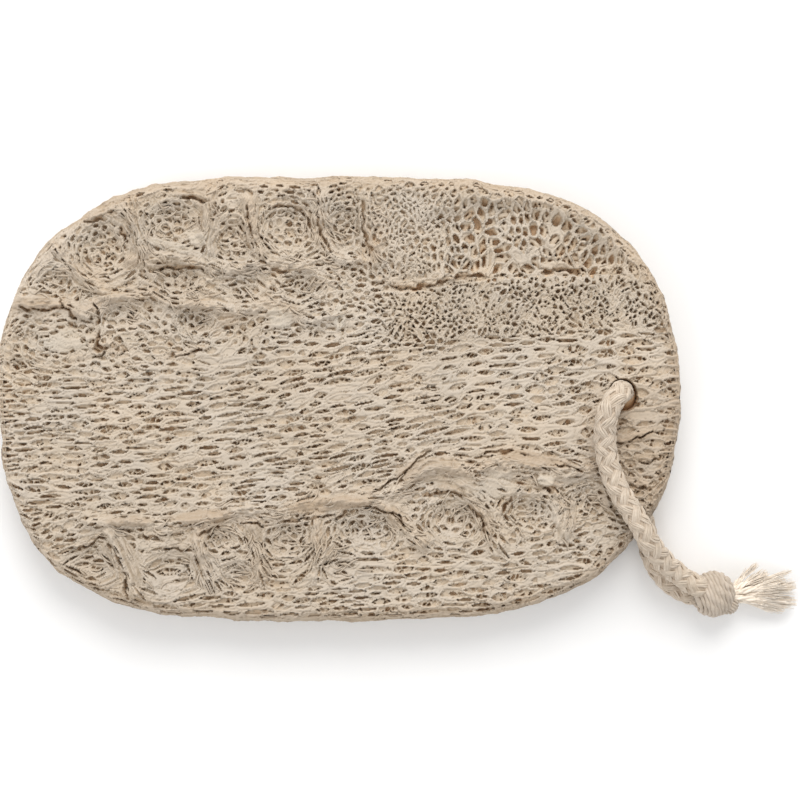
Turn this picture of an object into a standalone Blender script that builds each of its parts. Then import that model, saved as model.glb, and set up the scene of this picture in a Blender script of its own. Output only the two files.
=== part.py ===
# Natural loofah pad with a cotton rope loop, lying flat with the gourd's inner face up.
# The origin is on the surface it lies on, under the middle of the pad.

import math

import bmesh
import bpy
import numpy as np
from mathutils import Vector, geometry

# Lengths below are in millimetres, and MM turns them into Blender's metres.
MM = 0.001

# Driving dimensions of the pad
PAD_LENGTH = 150.0
PAD_WIDTH = 98.5
PAD_THICKNESS = 12.0
STRAIGHT_HALF = 15.3
END_BULGE_RIGHT_TOP = 2.5
END_BULGE_LEFT_TOP = 2.5
END_BULGE_LEFT_BOTTOM = 2.8
END_BULGE_RIGHT_BOTTOM = 2.45
RIM_POINTS = 120
RIM_INSET = 3.8

# Waves that scissors left in the outline: height, number round the pad and phase.
CUT_WAVES = ((0.30, 3, 0.6), (0.22, 8, 2.1), (0.16, 17, 0.9), (0.12, 31, 4.0))

# The rounded side between the two faces: inset, height over the face's level, and share of the roughness.
SIDE_BELOW_TOP = ((RIM_INSET, -0.3, 0.0), (1.7, -1.0, 1.0), (0.45, -2.7, 0.0))
SIDE_WIDEST = (0.0, 0.6, 2.0)
SIDE_ABOVE_UNDER = ((0.5, 2.2, 0.0), (1.9, 0.7, -1.0), (RIM_INSET, 0.0, 0.0))
SIDE_ROUGHNESS = 0.22

# The top face is a little higher towards the right end, and swells softly.
RIGHT_END_SPAN = (18.0, 62.0)
RIGHT_END_SWELL = 0.9
SWELL_HEIGHT = 0.35
SWELL_TURN_X = 0.11
SWELL_TURN_Y = 0.13
SWELL_PHASE = 0.7

# The underside rests on one flat oval and lifts towards the right end and the rim.
REST_HALF_LENGTH = 25.0
REST_HALF_WIDTH = 18.0
REST_POINTS = 28
REST_MARGIN = 1.5
RIGHT_END_LIFT = 3.2
RIM_LIFT = 0.9
RIM_LIFT_WIDTH = 16.0
UNDERSIDE_CLEARANCE = 0.35

# Net of fibres: each gap is a lens, its length along the fibres and its row spacing across them.
TOP_GAP_LENGTH = 7.4
TOP_ROW_SPACING = 1.6
TOP_GAP_DEPTH = 2.0
UNDER_GAP_LENGTH = 11.0
UNDER_ROW_SPACING = 3.1
UNDER_GAP_DEPTH = 1.3
UNDER_SWAY = 1.2
UNDER_SWAY_TURN = 0.09
FIBRE_SWAY = 8.5
FIBRE_SWAY_LENGTH = 45.0
FIBRE_SWAY_START = -4.0
FIBRE_ROUGHNESS = 0.3

# How far the net's points stray, as shares of the gap's length and of the row spacing
GAP_WANDER = (0.12, 0.25)
CROSSING_WANDER = (0.16, 0.22)
CROSSING_OFFSET = 0.2
TOP_NET_MARGIN = 0.7
UNDER_NET_MARGIN = 1.2

# Share of the full depth that the gaps have: everywhere, more in the long fibres and the coarse net.
GAP_SHARE = 0.62
GAP_SHARE_LONG = 0.38
GAP_SHARE_COARSE = 0.55
GAP_SHARE_WALL = 0.75
LONG_FIBRE_LINE = -2.0
LONG_FIBRE_SPREAD = 18.0
WALL_SPREAD = 1.3

# Rope: a round cotton braid
ROPE_DIAMETER = 5.2
ROPE_CLEARANCE = 0.35
ROPE_POINT_SPACING = 1.9
KNOT_CENTRE = (83.2, -43.6, 5.3)
KNOT_CORE_RADIUS = 4.2

# Turns of rope round the knot: shift from its centre, radius, axis, rope radius and squeeze along the axis.
KNOT_TURNS = (
    ("first_turn", (-0.6, 0.3, 0.0), 2.7, (0.86, -0.50, 0.12), 2.4, 1.0),
    ("second_turn", (1.0, -0.9, -0.3), 2.2, (0.55, -0.30, 0.78), 2.2, 0.9),
)

# The frayed ends: a brush of ribs with its sections as distance, half-width and half-height.
TASSEL_ROOT = (88.9, -42.9, 3.6)
TASSEL_AXIS = (1.0, 0.03, -0.06)
TASSEL_RIBS = 22
TASSEL_SECTIONS = ((0.0, 2.6, 2.2), (2.5, 3.3, 2.5), (5.5, 4.2, 2.6), (9.0, 5.1, 2.4))
TASSEL_RIDGE = 1.07
TASSEL_VALLEY = 0.80
TASSEL_TIP_HALF_WIDTH = 5.4
TASSEL_TIP_HALF_HEIGHT = 2.0
TASSEL_TIP_RIDGE = 0.95
TASSEL_TIP_VALLEY = 0.55
TASSEL_RIDGE_LENGTH = 12.6
TASSEL_RIDGE_UNEVEN = 1.5
TASSEL_VALLEY_LENGTH = 10.0
TASSEL_MIDDLE_LENGTH = 9.6

# Seed chambers pressed into the inner face: centre, half-length, half-width and depth.
SEED_CHAMBERS = (
    (-50.5, 33.0, 7.0, 8.0, 2.6),
    (-35.5, 38.5, 7.5, 5.5, 2.6),
    (-23.0, 34.5, 4.6, 6.5, 2.2),
    (-11.0, 37.5, 7.2, 6.8, 2.8),
    (2.0, 37.5, 4.8, 6.5, 2.0),
    (-62.0, 26.0, 4.5, 4.0, 1.4),
    (-35.5, 26.5, 6.5, 4.4, 2.2),
    (-20.5, 24.5, 5.6, 4.5, 2.0),
    (-7.5, 24.5, 4.6, 4.5, 2.0),
    (-47.0, 18.5, 4.5, 3.4, 2.0),
    (-31.0, 17.5, 4.2, 3.2, 2.8),
    (-70.0, 7.5, 4.0, 2.4, 1.2),
    (-54.0, -36.5, 5.8, 5.8, 2.4),
    (-36.5, -37.0, 5.4, 5.8, 2.2),
    (-26.0, -30.5, 4.2, 3.6, 1.8),
    (-22.0, -38.5, 4.0, 3.8, 1.6),
    (-11.5, -30.5, 5.6, 4.2, 2.3),
    (0.0, -37.0, 4.0, 3.4, 1.4),
    (6.5, -28.3, 7.2, 4.6, 2.6),
    (25.5, -26.3, 6.4, 5.2, 2.6),
    (42.0, -24.5, 6.4, 4.8, 2.6),
    (54.5, -22.5, 4.8, 4.6, 1.6),
)

# Torn walls left standing between the chambers: height, half-thickness and the line each follows.
SEPTA = (
    (1.6, 1.5, ((-61.0, 33.0), (-57.0, 27.5), (-51.0, 24.0))),
    (1.7, 1.6, ((-45.5, 43.0), (-43.5, 35.0), (-42.0, 30.5))),
    (1.7, 1.5, ((-28.0, 45.5), (-28.6, 38.0), (-28.5, 30.5))),
    (1.7, 1.5, ((-19.5, 43.0), (-18.4, 36.0), (-16.5, 31.0))),
    (1.7, 1.5, ((-4.0, 44.5), (-4.0, 37.0), (-1.5, 31.0))),
    (1.8, 1.7, ((6.3, 44.0), (6.6, 37.0), (8.4, 30.0))),
    (1.5, 1.3, ((-45.0, 30.0), (-38.0, 31.0), (-28.5, 30.0), (-24.0, 28.6), (-16.0, 30.3))),
    (1.5, 1.3, ((-16.0, 30.3), (-9.0, 29.2), (-2.0, 31.0), (8.0, 30.2))),
    (1.7, 1.4, ((-71.0, 21.5), (-66.0, 21.0), (-60.0, 21.2), (-55.0, 19.0), (-50.0, 22.5))),
    (1.7, 1.4, ((-50.0, 22.5), (-41.0, 23.0), (-37.0, 20.8), (-27.0, 20.8), (-22.0, 19.6))),
    (1.6, 1.4, ((-22.0, 19.6), (-13.0, 20.6), (-6.0, 18.0), (2.0, 19.0))),
    (1.8, 1.6, ((-54.0, -26.5), (-46.0, -26.0), (-37.0, -27.5), (-28.0, -26.0), (-21.0, -23.5))),
    (1.8, 1.6, ((-21.0, -23.5), (-14.0, -25.0), (-6.0, -22.5), (3.0, -22.0), (8.0, -21.5))),
    (1.8, 1.8, ((8.0, -21.5), (14.0, -19.0), (19.0, -14.0), (25.0, -14.5), (30.0, -15.5))),
    (1.8, 1.8, ((30.0, -15.5), (35.0, -13.0), (42.0, -14.5), (48.0, -16.0), (54.0, -15.0))),
    (1.6, 1.5, ((-50.0, -29.0), (-47.5, -35.0), (-44.5, -42.0))),
    (1.5, 1.5, ((-31.0, -28.0), (-30.0, -34.0), (-28.0, -40.5))),
    (1.4, 1.4, ((-19.5, -27.0), (-18.0, -33.0), (-16.5, -39.0))),
    (1.4, 1.4, ((-5.0, -25.5), (-4.0, -31.0), (-5.5, -38.0))),
    (1.6, 1.5, ((8.5, -21.5), (12.5, -26.0), (18.0, -31.0))),
    (1.6, 1.5, ((27.0, -19.0), (31.5, -26.0), (35.0, -32.0))),
    (1.5, 1.5, ((46.5, -19.0), (48.5, -24.0), (49.5, -29.0))),
)

# Coarse open net at the upper right, lying lower than the fine sheet whose edge is below it.
COARSE_CENTRE = (42.0, 35.5)
COARSE_HALF_SIZE = (25.0, 9.5)
COARSE_DROP = 1.9
COARSE_BORDER = (0.75, 1.15)
SHEET_EDGE = ((8.0, 23.6), (19.0, 24.2), (35.0, 26.6), (52.0, 27.4), (65.0, 27.4))
SHEET_STEP = 1.3
SHEET_STEP_WIDTH = 8.0
SHEET_STEP_FADE = 6.0

# The rope's route by hand: from the knot over the rim and along the top, through the hole and back below.
ROPE_ROUTE = (
    (79.3, -41.4, 8.0),
    (76.8, -40.0, 8.1),
    (73.7, -37.7, 9.0),
    (70.4, -34.5, 11.5),
    (67.7, -31.0, 14.0),
    (65.9, -27.6, 15.1),
    (63.6, -23.9, 15.4),
    (60.9, -19.6, 15.3),
    (58.9, -14.7, 15.1),
    (57.9, -9.6, 15.4),
    (57.8, -5.4, 16.6),
    (58.3, -2.4, 17.5),
    (59.5, 0.0, 17.2),
    (60.9, 1.5, 15.4),
    (61.8, 1.9, 12.6),
    (62.2, 1.1, 9.4),
    (62.5, -1.0, 6.3),
    (62.8, -4.7, 3.9),
    (63.5, -10.0, 2.8),
    (65.1, -17.5, 2.75),
    (67.1, -25.0, 2.75),
    (68.6, -31.8, 2.75),
    (70.0, -36.3, 2.75),
    (72.2, -39.7, 2.75),
    (74.8, -42.0, 2.75),
    (77.2, -43.2, 2.8),
    (79.2, -43.9, 2.9),
)

PAD_COLOUR = (0.497, 0.409, 0.309, 1.0)
ROPE_COLOUR = (0.590, 0.479, 0.376, 1.0)
KNOT_COLOUR = (0.565, 0.473, 0.381, 1.0)
TASSEL_COLOUR = (0.716, 0.617, 0.509, 1.0)


def clear_scene():
    for item in list(bpy.data.objects):
        bpy.data.objects.remove(item)


def new_collection(name):
    collection = bpy.data.collections.new(name)
    bpy.context.scene.collection.children.link(collection)
    return collection


def plain_material(name, colour, roughness):
    material = bpy.data.materials.new(name)
    material.use_nodes = True
    shader = material.node_tree.nodes["Principled BSDF"]
    shader.inputs["Base Color"].default_value = colour
    shader.inputs["Roughness"].default_value = roughness
    shader.inputs["Metallic"].default_value = 0.0
    material.diffuse_color = colour
    return material


def mesh_object(name, verts, faces, material, collection):
    """A mesh object from points in millimetres, with its faces turned outwards."""
    mesh = bpy.data.meshes.new(name)
    mesh.from_pydata([tuple(c * MM for c in v) for v in verts], [], faces)
    shell = bmesh.new()
    shell.from_mesh(mesh)
    bmesh.ops.recalc_face_normals(shell, faces=shell.faces)
    shell.to_mesh(mesh)
    shell.free()
    item = bpy.data.objects.new(name, mesh)
    if material:
        mesh.materials.append(material)
    collection.objects.link(item)
    return item


def tube_object(name, points, radius, sides_level, material, collection):
    """A round tube along points in millimetres, as a closed mesh."""
    curve = bpy.data.curves.new(name, "CURVE")
    curve.dimensions = "3D"
    curve.bevel_depth = radius * MM
    curve.bevel_resolution = sides_level
    curve.use_fill_caps = True
    spline = curve.splines.new("POLY")
    spline.points.add(len(points) - 1)
    for point, place in zip(spline.points, points):
        point.co = (place[0] * MM, place[1] * MM, place[2] * MM, 1.0)
    guide = bpy.data.objects.new(name + "_curve", curve)
    collection.objects.link(guide)
    bpy.context.view_layer.update()
    evaluated = guide.evaluated_get(bpy.context.evaluated_depsgraph_get())
    mesh = bpy.data.meshes.new_from_object(evaluated)
    mesh.name = name
    shell = bmesh.new()
    shell.from_mesh(mesh)
    bmesh.ops.remove_doubles(shell, verts=shell.verts, dist=1e-6)
    bmesh.ops.recalc_face_normals(shell, faces=shell.faces)
    shell.to_mesh(mesh)
    shell.free()
    item = bpy.data.objects.new(name, mesh)
    item.matrix_world = guide.matrix_world
    mesh.materials.clear()
    if material:
        mesh.materials.append(material)
    collection.objects.link(item)
    bpy.data.objects.remove(guide)
    return item


def boolean(target, other, operation):
    modifier = target.modifiers.new(operation.lower(), "BOOLEAN")
    modifier.operation = operation
    modifier.solver = "EXACT"
    modifier.object = other


def scatter(i, j, channel):
    """The same value between -1 and 1 each time for a place in the net."""
    wave = math.sin(i * 12.9898 + j * 78.233 + channel * 37.719) * 43758.5453
    return 2.0 * (wave - math.floor(wave)) - 1.0


def smooth_step(low, high, value):
    t = min(max((value - low) / (high - low), 0.0), 1.0)
    return t * t * (3.0 - 2.0 * t)


# Outline of the pad

def quadrant_point(turn, bulge, sign_x, sign_y):
    end_half = PAD_LENGTH / 2.0 - STRAIGHT_HALF
    x = STRAIGHT_HALF + end_half * abs(math.cos(turn)) ** (2.0 / bulge)
    y = PAD_WIDTH / 2.0 * abs(math.sin(turn)) ** (2.0 / bulge)
    return sign_x * x, sign_y * y


def hand_cut(share):
    """Small waves that scissors left in the outline, for a share of the way round."""
    turn = 2.0 * math.pi * share
    return sum(height * math.sin(count * turn + phase) for height, count, phase in CUT_WAVES)


def dense_outline(steps=240):
    quarter = [0.5 * math.pi * k / steps for k in range(steps)]
    points = [quadrant_point(t, END_BULGE_RIGHT_TOP, 1, 1) for t in quarter]
    points += [quadrant_point(math.pi / 2 - t, END_BULGE_LEFT_TOP, -1, 1) for t in quarter]
    points += [quadrant_point(t, END_BULGE_LEFT_BOTTOM, -1, -1) for t in quarter]
    points += [quadrant_point(math.pi / 2 - t, END_BULGE_RIGHT_BOTTOM, 1, -1) for t in quarter]
    return np.array(points)


def spread(points, count):
    """Points at equal steps round a closed line."""
    closed = np.vstack([points, points[:1]])
    steps = np.hypot(*(closed[1:] - closed[:-1]).T)
    along = np.concatenate([[0.0], np.cumsum(steps)])
    at = np.linspace(0.0, along[-1], count, endpoint=False)
    return np.column_stack([np.interp(at, along, closed[:, 0]), np.interp(at, along, closed[:, 1])])


def outward(points):
    tangent = np.roll(points, -1, axis=0) - np.roll(points, 1, axis=0)
    normal = np.column_stack([tangent[:, 1], -tangent[:, 0]])
    return normal / np.linalg.norm(normal, axis=1)[:, None]


def pad_outline(count):
    """The cut outline as points in order, its size exactly the pad's length and width."""
    points = spread(dense_outline(), count)
    waves = np.array([hand_cut(k / count) for k in range(count)])
    points = points + outward(points) * waves[:, None]
    low = points.min(axis=0)
    high = points.max(axis=0)
    return (points - (low + high) / 2.0) / (high - low) * np.array([PAD_LENGTH, PAD_WIDTH])


def depth_inside(outline, x, y):
    """How far a place is inside the outline; negative outside it."""
    a = outline
    b = np.roll(outline, -1, axis=0)
    edge = b - a
    to_place = np.array([x, y]) - a
    share = np.clip((to_place * edge).sum(axis=1) / (edge * edge).sum(axis=1), 0.0, 1.0)
    gap = to_place - edge * share[:, None]
    distance = float(np.sqrt((gap * gap).sum(axis=1).min()))
    crosses = (a[:, 1] > y) != (b[:, 1] > y)
    at_x = a[:, 0] + (y - a[:, 1]) * edge[:, 0] / np.where(edge[:, 1] == 0, 1e-9, edge[:, 1])
    inside = int(np.count_nonzero(crosses & (at_x > x))) % 2 == 1
    return distance if inside else -distance


# Heights of the two faces

def line_distance(line, x, y):
    best = 1e9
    for (ax, ay), (bx, by) in zip(line[:-1], line[1:]):
        ex, ey = bx - ax, by - ay
        share = ((x - ax) * ex + (y - ay) * ey) / (ex * ex + ey * ey)
        share = min(max(share, 0.0), 1.0)
        best = min(best, math.hypot(x - ax - ex * share, y - ay - ey * share))
    return best


def chamber_share(x, y, chamber):
    centre_x, centre_y, half_length, half_width = chamber[:4]
    return math.hypot((x - centre_x) / half_length, (y - centre_y) / half_width)


def coarse_share(x, y):
    """1 in the coarse net at the upper right, falling to 0 outside it."""
    reach_x = (x - COARSE_CENTRE[0]) / COARSE_HALF_SIZE[0]
    reach_y = (y - COARSE_CENTRE[1]) / COARSE_HALF_SIZE[1]
    reach = math.hypot(reach_x, reach_y)
    return 1.0 - smooth_step(*COARSE_BORDER, reach)


def sheet_edge_height(x):
    xs = [point[0] for point in SHEET_EDGE]
    ys = [point[1] for point in SHEET_EDGE]
    return float(np.interp(x, xs, ys))


def right_end(x):
    return smooth_step(*RIGHT_END_SPAN, x)


def top_height(x, y):
    height = PAD_THICKNESS + RIGHT_END_SWELL * right_end(x)
    height += SWELL_HEIGHT * math.sin(x * SWELL_TURN_X + SWELL_PHASE) * math.cos(y * SWELL_TURN_Y)
    for chamber in SEED_CHAMBERS:
        reach = chamber_share(x, y, chamber)
        if reach < 1.0:
            height -= chamber[4] * (1.0 - reach * reach) ** 1.5
    wall = 0.0
    for rise, half_thickness, line in SEPTA:
        wall = max(wall, rise * math.exp(-(line_distance(line, x, y) / half_thickness) ** 2))
    height += wall
    height -= COARSE_DROP * coarse_share(x, y)
    above = y - sheet_edge_height(x)
    from_start = x - SHEET_EDGE[0][0]
    to_end = SHEET_EDGE[-1][0] - x
    if min(from_start, to_end) > 0.0 and 0.0 < above < SHEET_STEP_WIDTH:
        ends = smooth_step(0.0, SHEET_STEP_FADE, from_start) * smooth_step(0.0, SHEET_STEP_FADE, to_end)
        height -= SHEET_STEP * ends * (1.0 - above / SHEET_STEP_WIDTH)
    return height


def top_gap_depth(x, y):
    """Depth of the gaps between fibres: deep in the long fibres and coarse net, shallow on the walls."""
    share = GAP_SHARE
    from_line = y - FIBRE_SWAY * math.tanh(x / FIBRE_SWAY_LENGTH) - LONG_FIBRE_LINE
    share += GAP_SHARE_LONG * math.exp(-(from_line / LONG_FIBRE_SPREAD) ** 2)
    share += GAP_SHARE_COARSE * coarse_share(x, y)
    wall = 0.0
    for _, half_thickness, line in SEPTA:
        wall = max(wall, math.exp(-(line_distance(line, x, y) / (WALL_SPREAD * half_thickness)) ** 2))
    return TOP_GAP_DEPTH * share * (1.0 - GAP_SHARE_WALL * wall)


def under_height(x, y, inside):
    lift = RIGHT_END_LIFT * right_end(x)
    lift += RIM_LIFT * (1.0 - smooth_step(0.0, RIM_LIFT_WIDTH, inside))
    return UNDERSIDE_CLEARANCE + lift


# The net of fibres on each face

def swayed(x, y):
    """A place on the top face after the long fibres' rise to the right."""
    calm = max(0.0, 1.0 - (y / (0.5 * PAD_WIDTH)) ** 2)
    return x, y + FIBRE_SWAY * calm * math.tanh((x - FIBRE_SWAY_START) / FIBRE_SWAY_LENGTH)


def crossed(x, y):
    """A place on the underside, whose fibres run across the pad."""
    return y + UNDER_SWAY * math.sin(x * UNDER_SWAY_TURN), x


def net_points(gap_length, row_spacing, place):
    """Gap centres and the fibre crossings round each, by row and number."""
    columns = int(PAD_LENGTH / gap_length) + 3
    rows = int(PAD_LENGTH / row_spacing) // 2 + 2
    crossing_offset = CROSSING_OFFSET * row_spacing
    centres = {}
    crossings = {}
    for j in range(-rows, rows + 1):
        shift = 0.5 * gap_length * (j % 2)
        for i in range(-columns, columns + 1):
            x = i * gap_length + shift
            y = j * row_spacing
            centre_x = x + GAP_WANDER[0] * gap_length * scatter(i, j, 1)
            centre_y = y + GAP_WANDER[1] * row_spacing * scatter(i, j, 2)
            centres[i, j] = place(centre_x, centre_y)
            wander_x = CROSSING_WANDER[0] * gap_length * scatter(i, j, 3)
            wander_y = CROSSING_WANDER[1] * row_spacing * scatter(i, j, 4)
            meet_x = x + 0.5 * gap_length + wander_x
            crossings[i, j, 0] = place(meet_x, y + crossing_offset + wander_y)
            crossings[i, j, 1] = place(meet_x, y - crossing_offset + wander_y)
    return centres, crossings


def net_edges(centres, crossings):
    """Lines from each gap's centre to the six crossings round it, and the fibres between them."""
    lines = []
    for i, j in centres:
        left = i - 1 + (j % 2)
        ring = [(i, j, 0), (left, j + 1, 1), (i - 1, j, 0), (i - 1, j, 1), (left, j - 1, 0), (i, j, 1)]
        ring = [key for key in ring if key in crossings]
        for k, key in enumerate(ring):
            lines.append((("gap", i, j), key))
            lines.append((key, ring[(k + 1) % len(ring)]))
    return lines


def face_mesh(ring, gap_length, row_spacing, place, keep, extra_ring):
    """Triangles of one face: the ring, the net inside it and, if given, a bare oval in the middle."""
    centres, crossings = net_points(gap_length, row_spacing, place)
    coords = [Vector(point) for point in ring]
    kinds = ["ring"] * len(ring)
    edges = [(k, (k + 1) % len(ring)) for k in range(len(ring))]
    if extra_ring:
        start = len(coords)
        coords += [Vector(point) for point in extra_ring]
        kinds += ["rest"] * len(extra_ring)
        edges += [(start + k, start + (k + 1) % len(extra_ring)) for k in range(len(extra_ring))]
    number = {}
    for key, point in crossings.items():
        if keep(point):
            number[key] = len(coords)
            coords.append(Vector(point))
            kinds.append("fibre")
    for (i, j), point in centres.items():
        if keep(point):
            number["gap", i, j] = len(coords)
            coords.append(Vector(point))
            kinds.append("gap")
    seen = set()
    for a, b in net_edges(centres, crossings):
        if a in number and b in number:
            pair = tuple(sorted((number[a], number[b])))
            if pair[0] != pair[1] and pair not in seen:
                seen.add(pair)
                edges.append(pair)
    result = geometry.delaunay_2d_cdt(coords, edges, [], 1, 1e-6)
    out_coords, out_faces, origins = result[0], result[2], result[3]
    out_kinds = [kinds[origin[0]] if origin else "fibre" for origin in origins]
    ring_numbers = {}
    for k, origin in enumerate(origins):
        for source in origin:
            if source < len(ring):
                ring_numbers[source] = k
    return [tuple(point) for point in out_coords], out_faces, out_kinds, ring_numbers


def pad_rings(outline):
    """Rings down the pad's rounded side, from the top face to the underside, as inset and height."""
    normals = outward(outline)
    rings = []
    for k, (point, normal) in enumerate(zip(outline, normals)):
        inner = point - normal * RIM_INSET
        top = top_height(*inner)
        under = under_height(inner[0], inner[1], RIM_INSET)
        rough = SIDE_ROUGHNESS * scatter(k, 0, 5)
        stretches = ((top, SIDE_BELOW_TOP), (0.5 * (top + under), (SIDE_WIDEST,)), (under, SIDE_ABOVE_UNDER))
        column = []
        for level, rows in stretches:
            for inset, rise, share in rows:
                column.append((*(point - normal * inset), level + rise + share * rough))
        rings.append(column)
    return rings


def build_pad(material, collection):
    outline = pad_outline(RIM_POINTS)
    rings = pad_rings(outline)
    top_ring = [column[0][:2] for column in rings]
    under_ring = [column[-1][:2] for column in rings]
    rest_turns = [2 * math.pi * k / REST_POINTS for k in range(REST_POINTS)]
    rest_ring = [(REST_HALF_LENGTH * math.cos(t), REST_HALF_WIDTH * math.sin(t)) for t in rest_turns]

    def keep_top(point):
        return depth_inside(outline, *point) > RIM_INSET + TOP_NET_MARGIN

    def keep_under(point):
        share_x = point[0] / (REST_HALF_LENGTH + REST_MARGIN)
        share_y = point[1] / (REST_HALF_WIDTH + REST_MARGIN)
        off_rest = math.hypot(share_x, share_y) > 1.0
        return off_rest and depth_inside(outline, *point) > RIM_INSET + UNDER_NET_MARGIN

    verts = []
    faces = []

    def add_face_mesh(mesh, heights):
        start = len(verts)
        coords, triangles, kinds, ring_numbers = mesh
        for point, kind in zip(coords, kinds):
            verts.append((point[0], point[1], heights(point, kind)))
        faces.extend([tuple(start + index for index in triangle) for triangle in triangles])
        return [start + ring_numbers[k] for k in range(RIM_POINTS)]

    def top_point_height(point, kind):
        if kind == "ring":
            return top_height(*point) + SIDE_BELOW_TOP[0][1]
        height = top_height(*point)
        if kind == "gap":
            return height - top_gap_depth(*point)
        return height + FIBRE_ROUGHNESS * scatter(round(point[0], 2), round(point[1], 2), 6)

    def under_point_height(point, kind):
        if kind == "rest":
            return 0.0
        inside = depth_inside(outline, *point) if kind != "ring" else RIM_INSET
        height = under_height(point[0], point[1], inside)
        return height + UNDER_GAP_DEPTH if kind == "gap" else height

    top_mesh = face_mesh(top_ring, TOP_GAP_LENGTH, TOP_ROW_SPACING, swayed, keep_top, None)
    top_index = add_face_mesh(top_mesh, top_point_height)
    under_mesh = face_mesh(under_ring, UNDER_GAP_LENGTH, UNDER_ROW_SPACING, crossed, keep_under, rest_ring)
    under_index = add_face_mesh(under_mesh, under_point_height)

    columns = []
    for k, column in enumerate(rings):
        middle = []
        for place in column[1:-1]:
            middle.append(len(verts))
            verts.append(place)
        columns.append([top_index[k]] + middle + [under_index[k]])
    for column, following in zip(columns, columns[1:] + columns[:1]):
        for level in range(len(column) - 1):
            a, b = column[level], column[level + 1]
            c, d = following[level + 1], following[level]
            faces.append((a, b, c))
            faces.append((a, c, d))
    return mesh_object("loofah_pad", verts, faces, material, collection)


# The rope

def curve_through(points, spacing):
    """Evenly spaced points on a smooth curve through the given ones."""
    places = [Vector(point) for point in points]
    places = [2 * places[0] - places[1]] + places + [2 * places[-1] - places[-2]]
    dense = []
    for k in range(1, len(places) - 2):
        a, b, c, d = places[k - 1:k + 3]
        for step in range(16):
            t = step / 16.0
            dense.append(0.5 * (2 * b + (c - a) * t + (2 * a - 5 * b + 4 * c - d) * t * t
                                + (3 * b - a - 3 * c + d) * t ** 3))
    dense.append(places[-2])
    along = [0.0]
    for first, second in zip(dense, dense[1:]):
        along.append(along[-1] + (second - first).length)
    count = max(2, round(along[-1] / spacing)) + 1
    at = np.linspace(0.0, along[-1], count)
    return [tuple(np.interp(s, along, [p[axis] for p in dense]) for axis in range(3)) for s in at]


def knot_turn(name, centre, radius, axis, rope_radius, squeeze, collection):
    """One turn of rope round the knot, as a torus squeezed along its axis."""
    bpy.ops.mesh.primitive_torus_add(
        major_segments=22, minor_segments=10, major_radius=radius * MM, minor_radius=rope_radius * MM
    )
    item = bpy.context.active_object
    item.name = name
    item.scale = (1.0, 1.0, squeeze)
    item.rotation_mode = "QUATERNION"
    item.rotation_quaternion = Vector(axis).to_track_quat("Z", "Y")
    item.location = Vector(centre) * MM
    for holder in list(item.users_collection):
        holder.objects.unlink(item)
    collection.objects.link(item)
    return item


def hide_cutter(item):
    item.hide_render = True
    item.display_type = "WIRE"


def build_knot(rope_cutter, material, collection, cutters):
    """The overhand knot: a round core under two turns of rope, with sockets for the legs."""
    centre = Vector(KNOT_CENTRE)
    bpy.ops.mesh.primitive_uv_sphere_add(
        segments=20, ring_count=12, radius=KNOT_CORE_RADIUS * MM, location=centre * MM
    )
    knot = bpy.context.active_object
    knot.name = "rope_knot"
    for holder in list(knot.users_collection):
        holder.objects.unlink(knot)
    collection.objects.link(knot)
    knot.data.materials.append(material)
    for name, shift, radius, axis, rope_radius, squeeze in KNOT_TURNS:
        turn = knot_turn(name, centre + Vector(shift), radius, axis, rope_radius, squeeze, cutters)
        hide_cutter(turn)
        boolean(knot, turn, "UNION")
    boolean(knot, rope_cutter, "DIFFERENCE")
    return knot


def build_tassel(material, collection):
    """The two frayed ends: one flat brush of ribs that fans out and ends in uneven tips."""
    root = Vector(TASSEL_ROOT)
    axis = Vector(TASSEL_AXIS).normalized()
    side = Vector((0.0, 1.0, 0.0))
    around = 2 * TASSEL_RIBS
    verts = []
    faces = []
    for distance, half_width, half_height in TASSEL_SECTIONS:
        for k in range(around):
            turn = math.pi * k / TASSEL_RIBS
            swell = TASSEL_RIDGE if k % 2 == 0 else TASSEL_VALLEY
            offset = side * (half_width * swell * math.cos(turn))
            offset.z += half_height * swell * math.sin(turn)
            verts.append(root + axis * distance + offset)
    for k in range(around):
        turn = math.pi * k / TASSEL_RIBS
        length = TASSEL_VALLEY_LENGTH
        swell = TASSEL_TIP_VALLEY
        if k % 2 == 0:
            length = TASSEL_RIDGE_LENGTH + TASSEL_RIDGE_UNEVEN * scatter(k, 3, 7)
            swell = TASSEL_TIP_RIDGE
        offset = side * (TASSEL_TIP_HALF_WIDTH * swell * math.cos(turn))
        offset.z += TASSEL_TIP_HALF_HEIGHT * swell * math.sin(turn)
        verts.append(root + axis * length + offset)
    for level in range(len(TASSEL_SECTIONS)):
        for k in range(around):
            a = level * around + k
            b = level * around + (k + 1) % around
            faces.append((a, b, b + around))
            faces.append((a, b + around, a + around))
    root_middle = len(verts)
    verts.append(root)
    tip_middle = len(verts)
    verts.append(root + axis * TASSEL_MIDDLE_LENGTH)
    last = len(TASSEL_SECTIONS) * around
    for k in range(around):
        following = (k + 1) % around
        faces.append((root_middle, following, k))
        faces.append((tip_middle, last + k, last + following))
    return mesh_object("rope_tassel", verts, faces, material, collection)


def main():
    clear_scene()
    parts = new_collection("loofah_sponge")
    cutters = new_collection("cutters")
    pad_material = plain_material("loofah_fibre", PAD_COLOUR, 0.92)
    rope_material = plain_material("cotton_rope", ROPE_COLOUR, 0.95)
    knot_material = plain_material("cotton_knot", KNOT_COLOUR, 0.95)
    tassel_material = plain_material("cotton_fray", TASSEL_COLOUR, 0.95)

    route = curve_through(ROPE_ROUTE, ROPE_POINT_SPACING)
    tube_object("rope_loop", route, ROPE_DIAMETER / 2.0, 3, rope_material, parts)
    cutter = tube_object("rope_clearance", route, ROPE_DIAMETER / 2.0 + ROPE_CLEARANCE, 3, None, cutters)
    hide_cutter(cutter)

    pad = build_pad(pad_material, parts)
    boolean(pad, cutter, "DIFFERENCE")
    build_knot(cutter, knot_material, parts, cutters)
    build_tassel(tassel_material, parts)


main()
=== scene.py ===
import math

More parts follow.
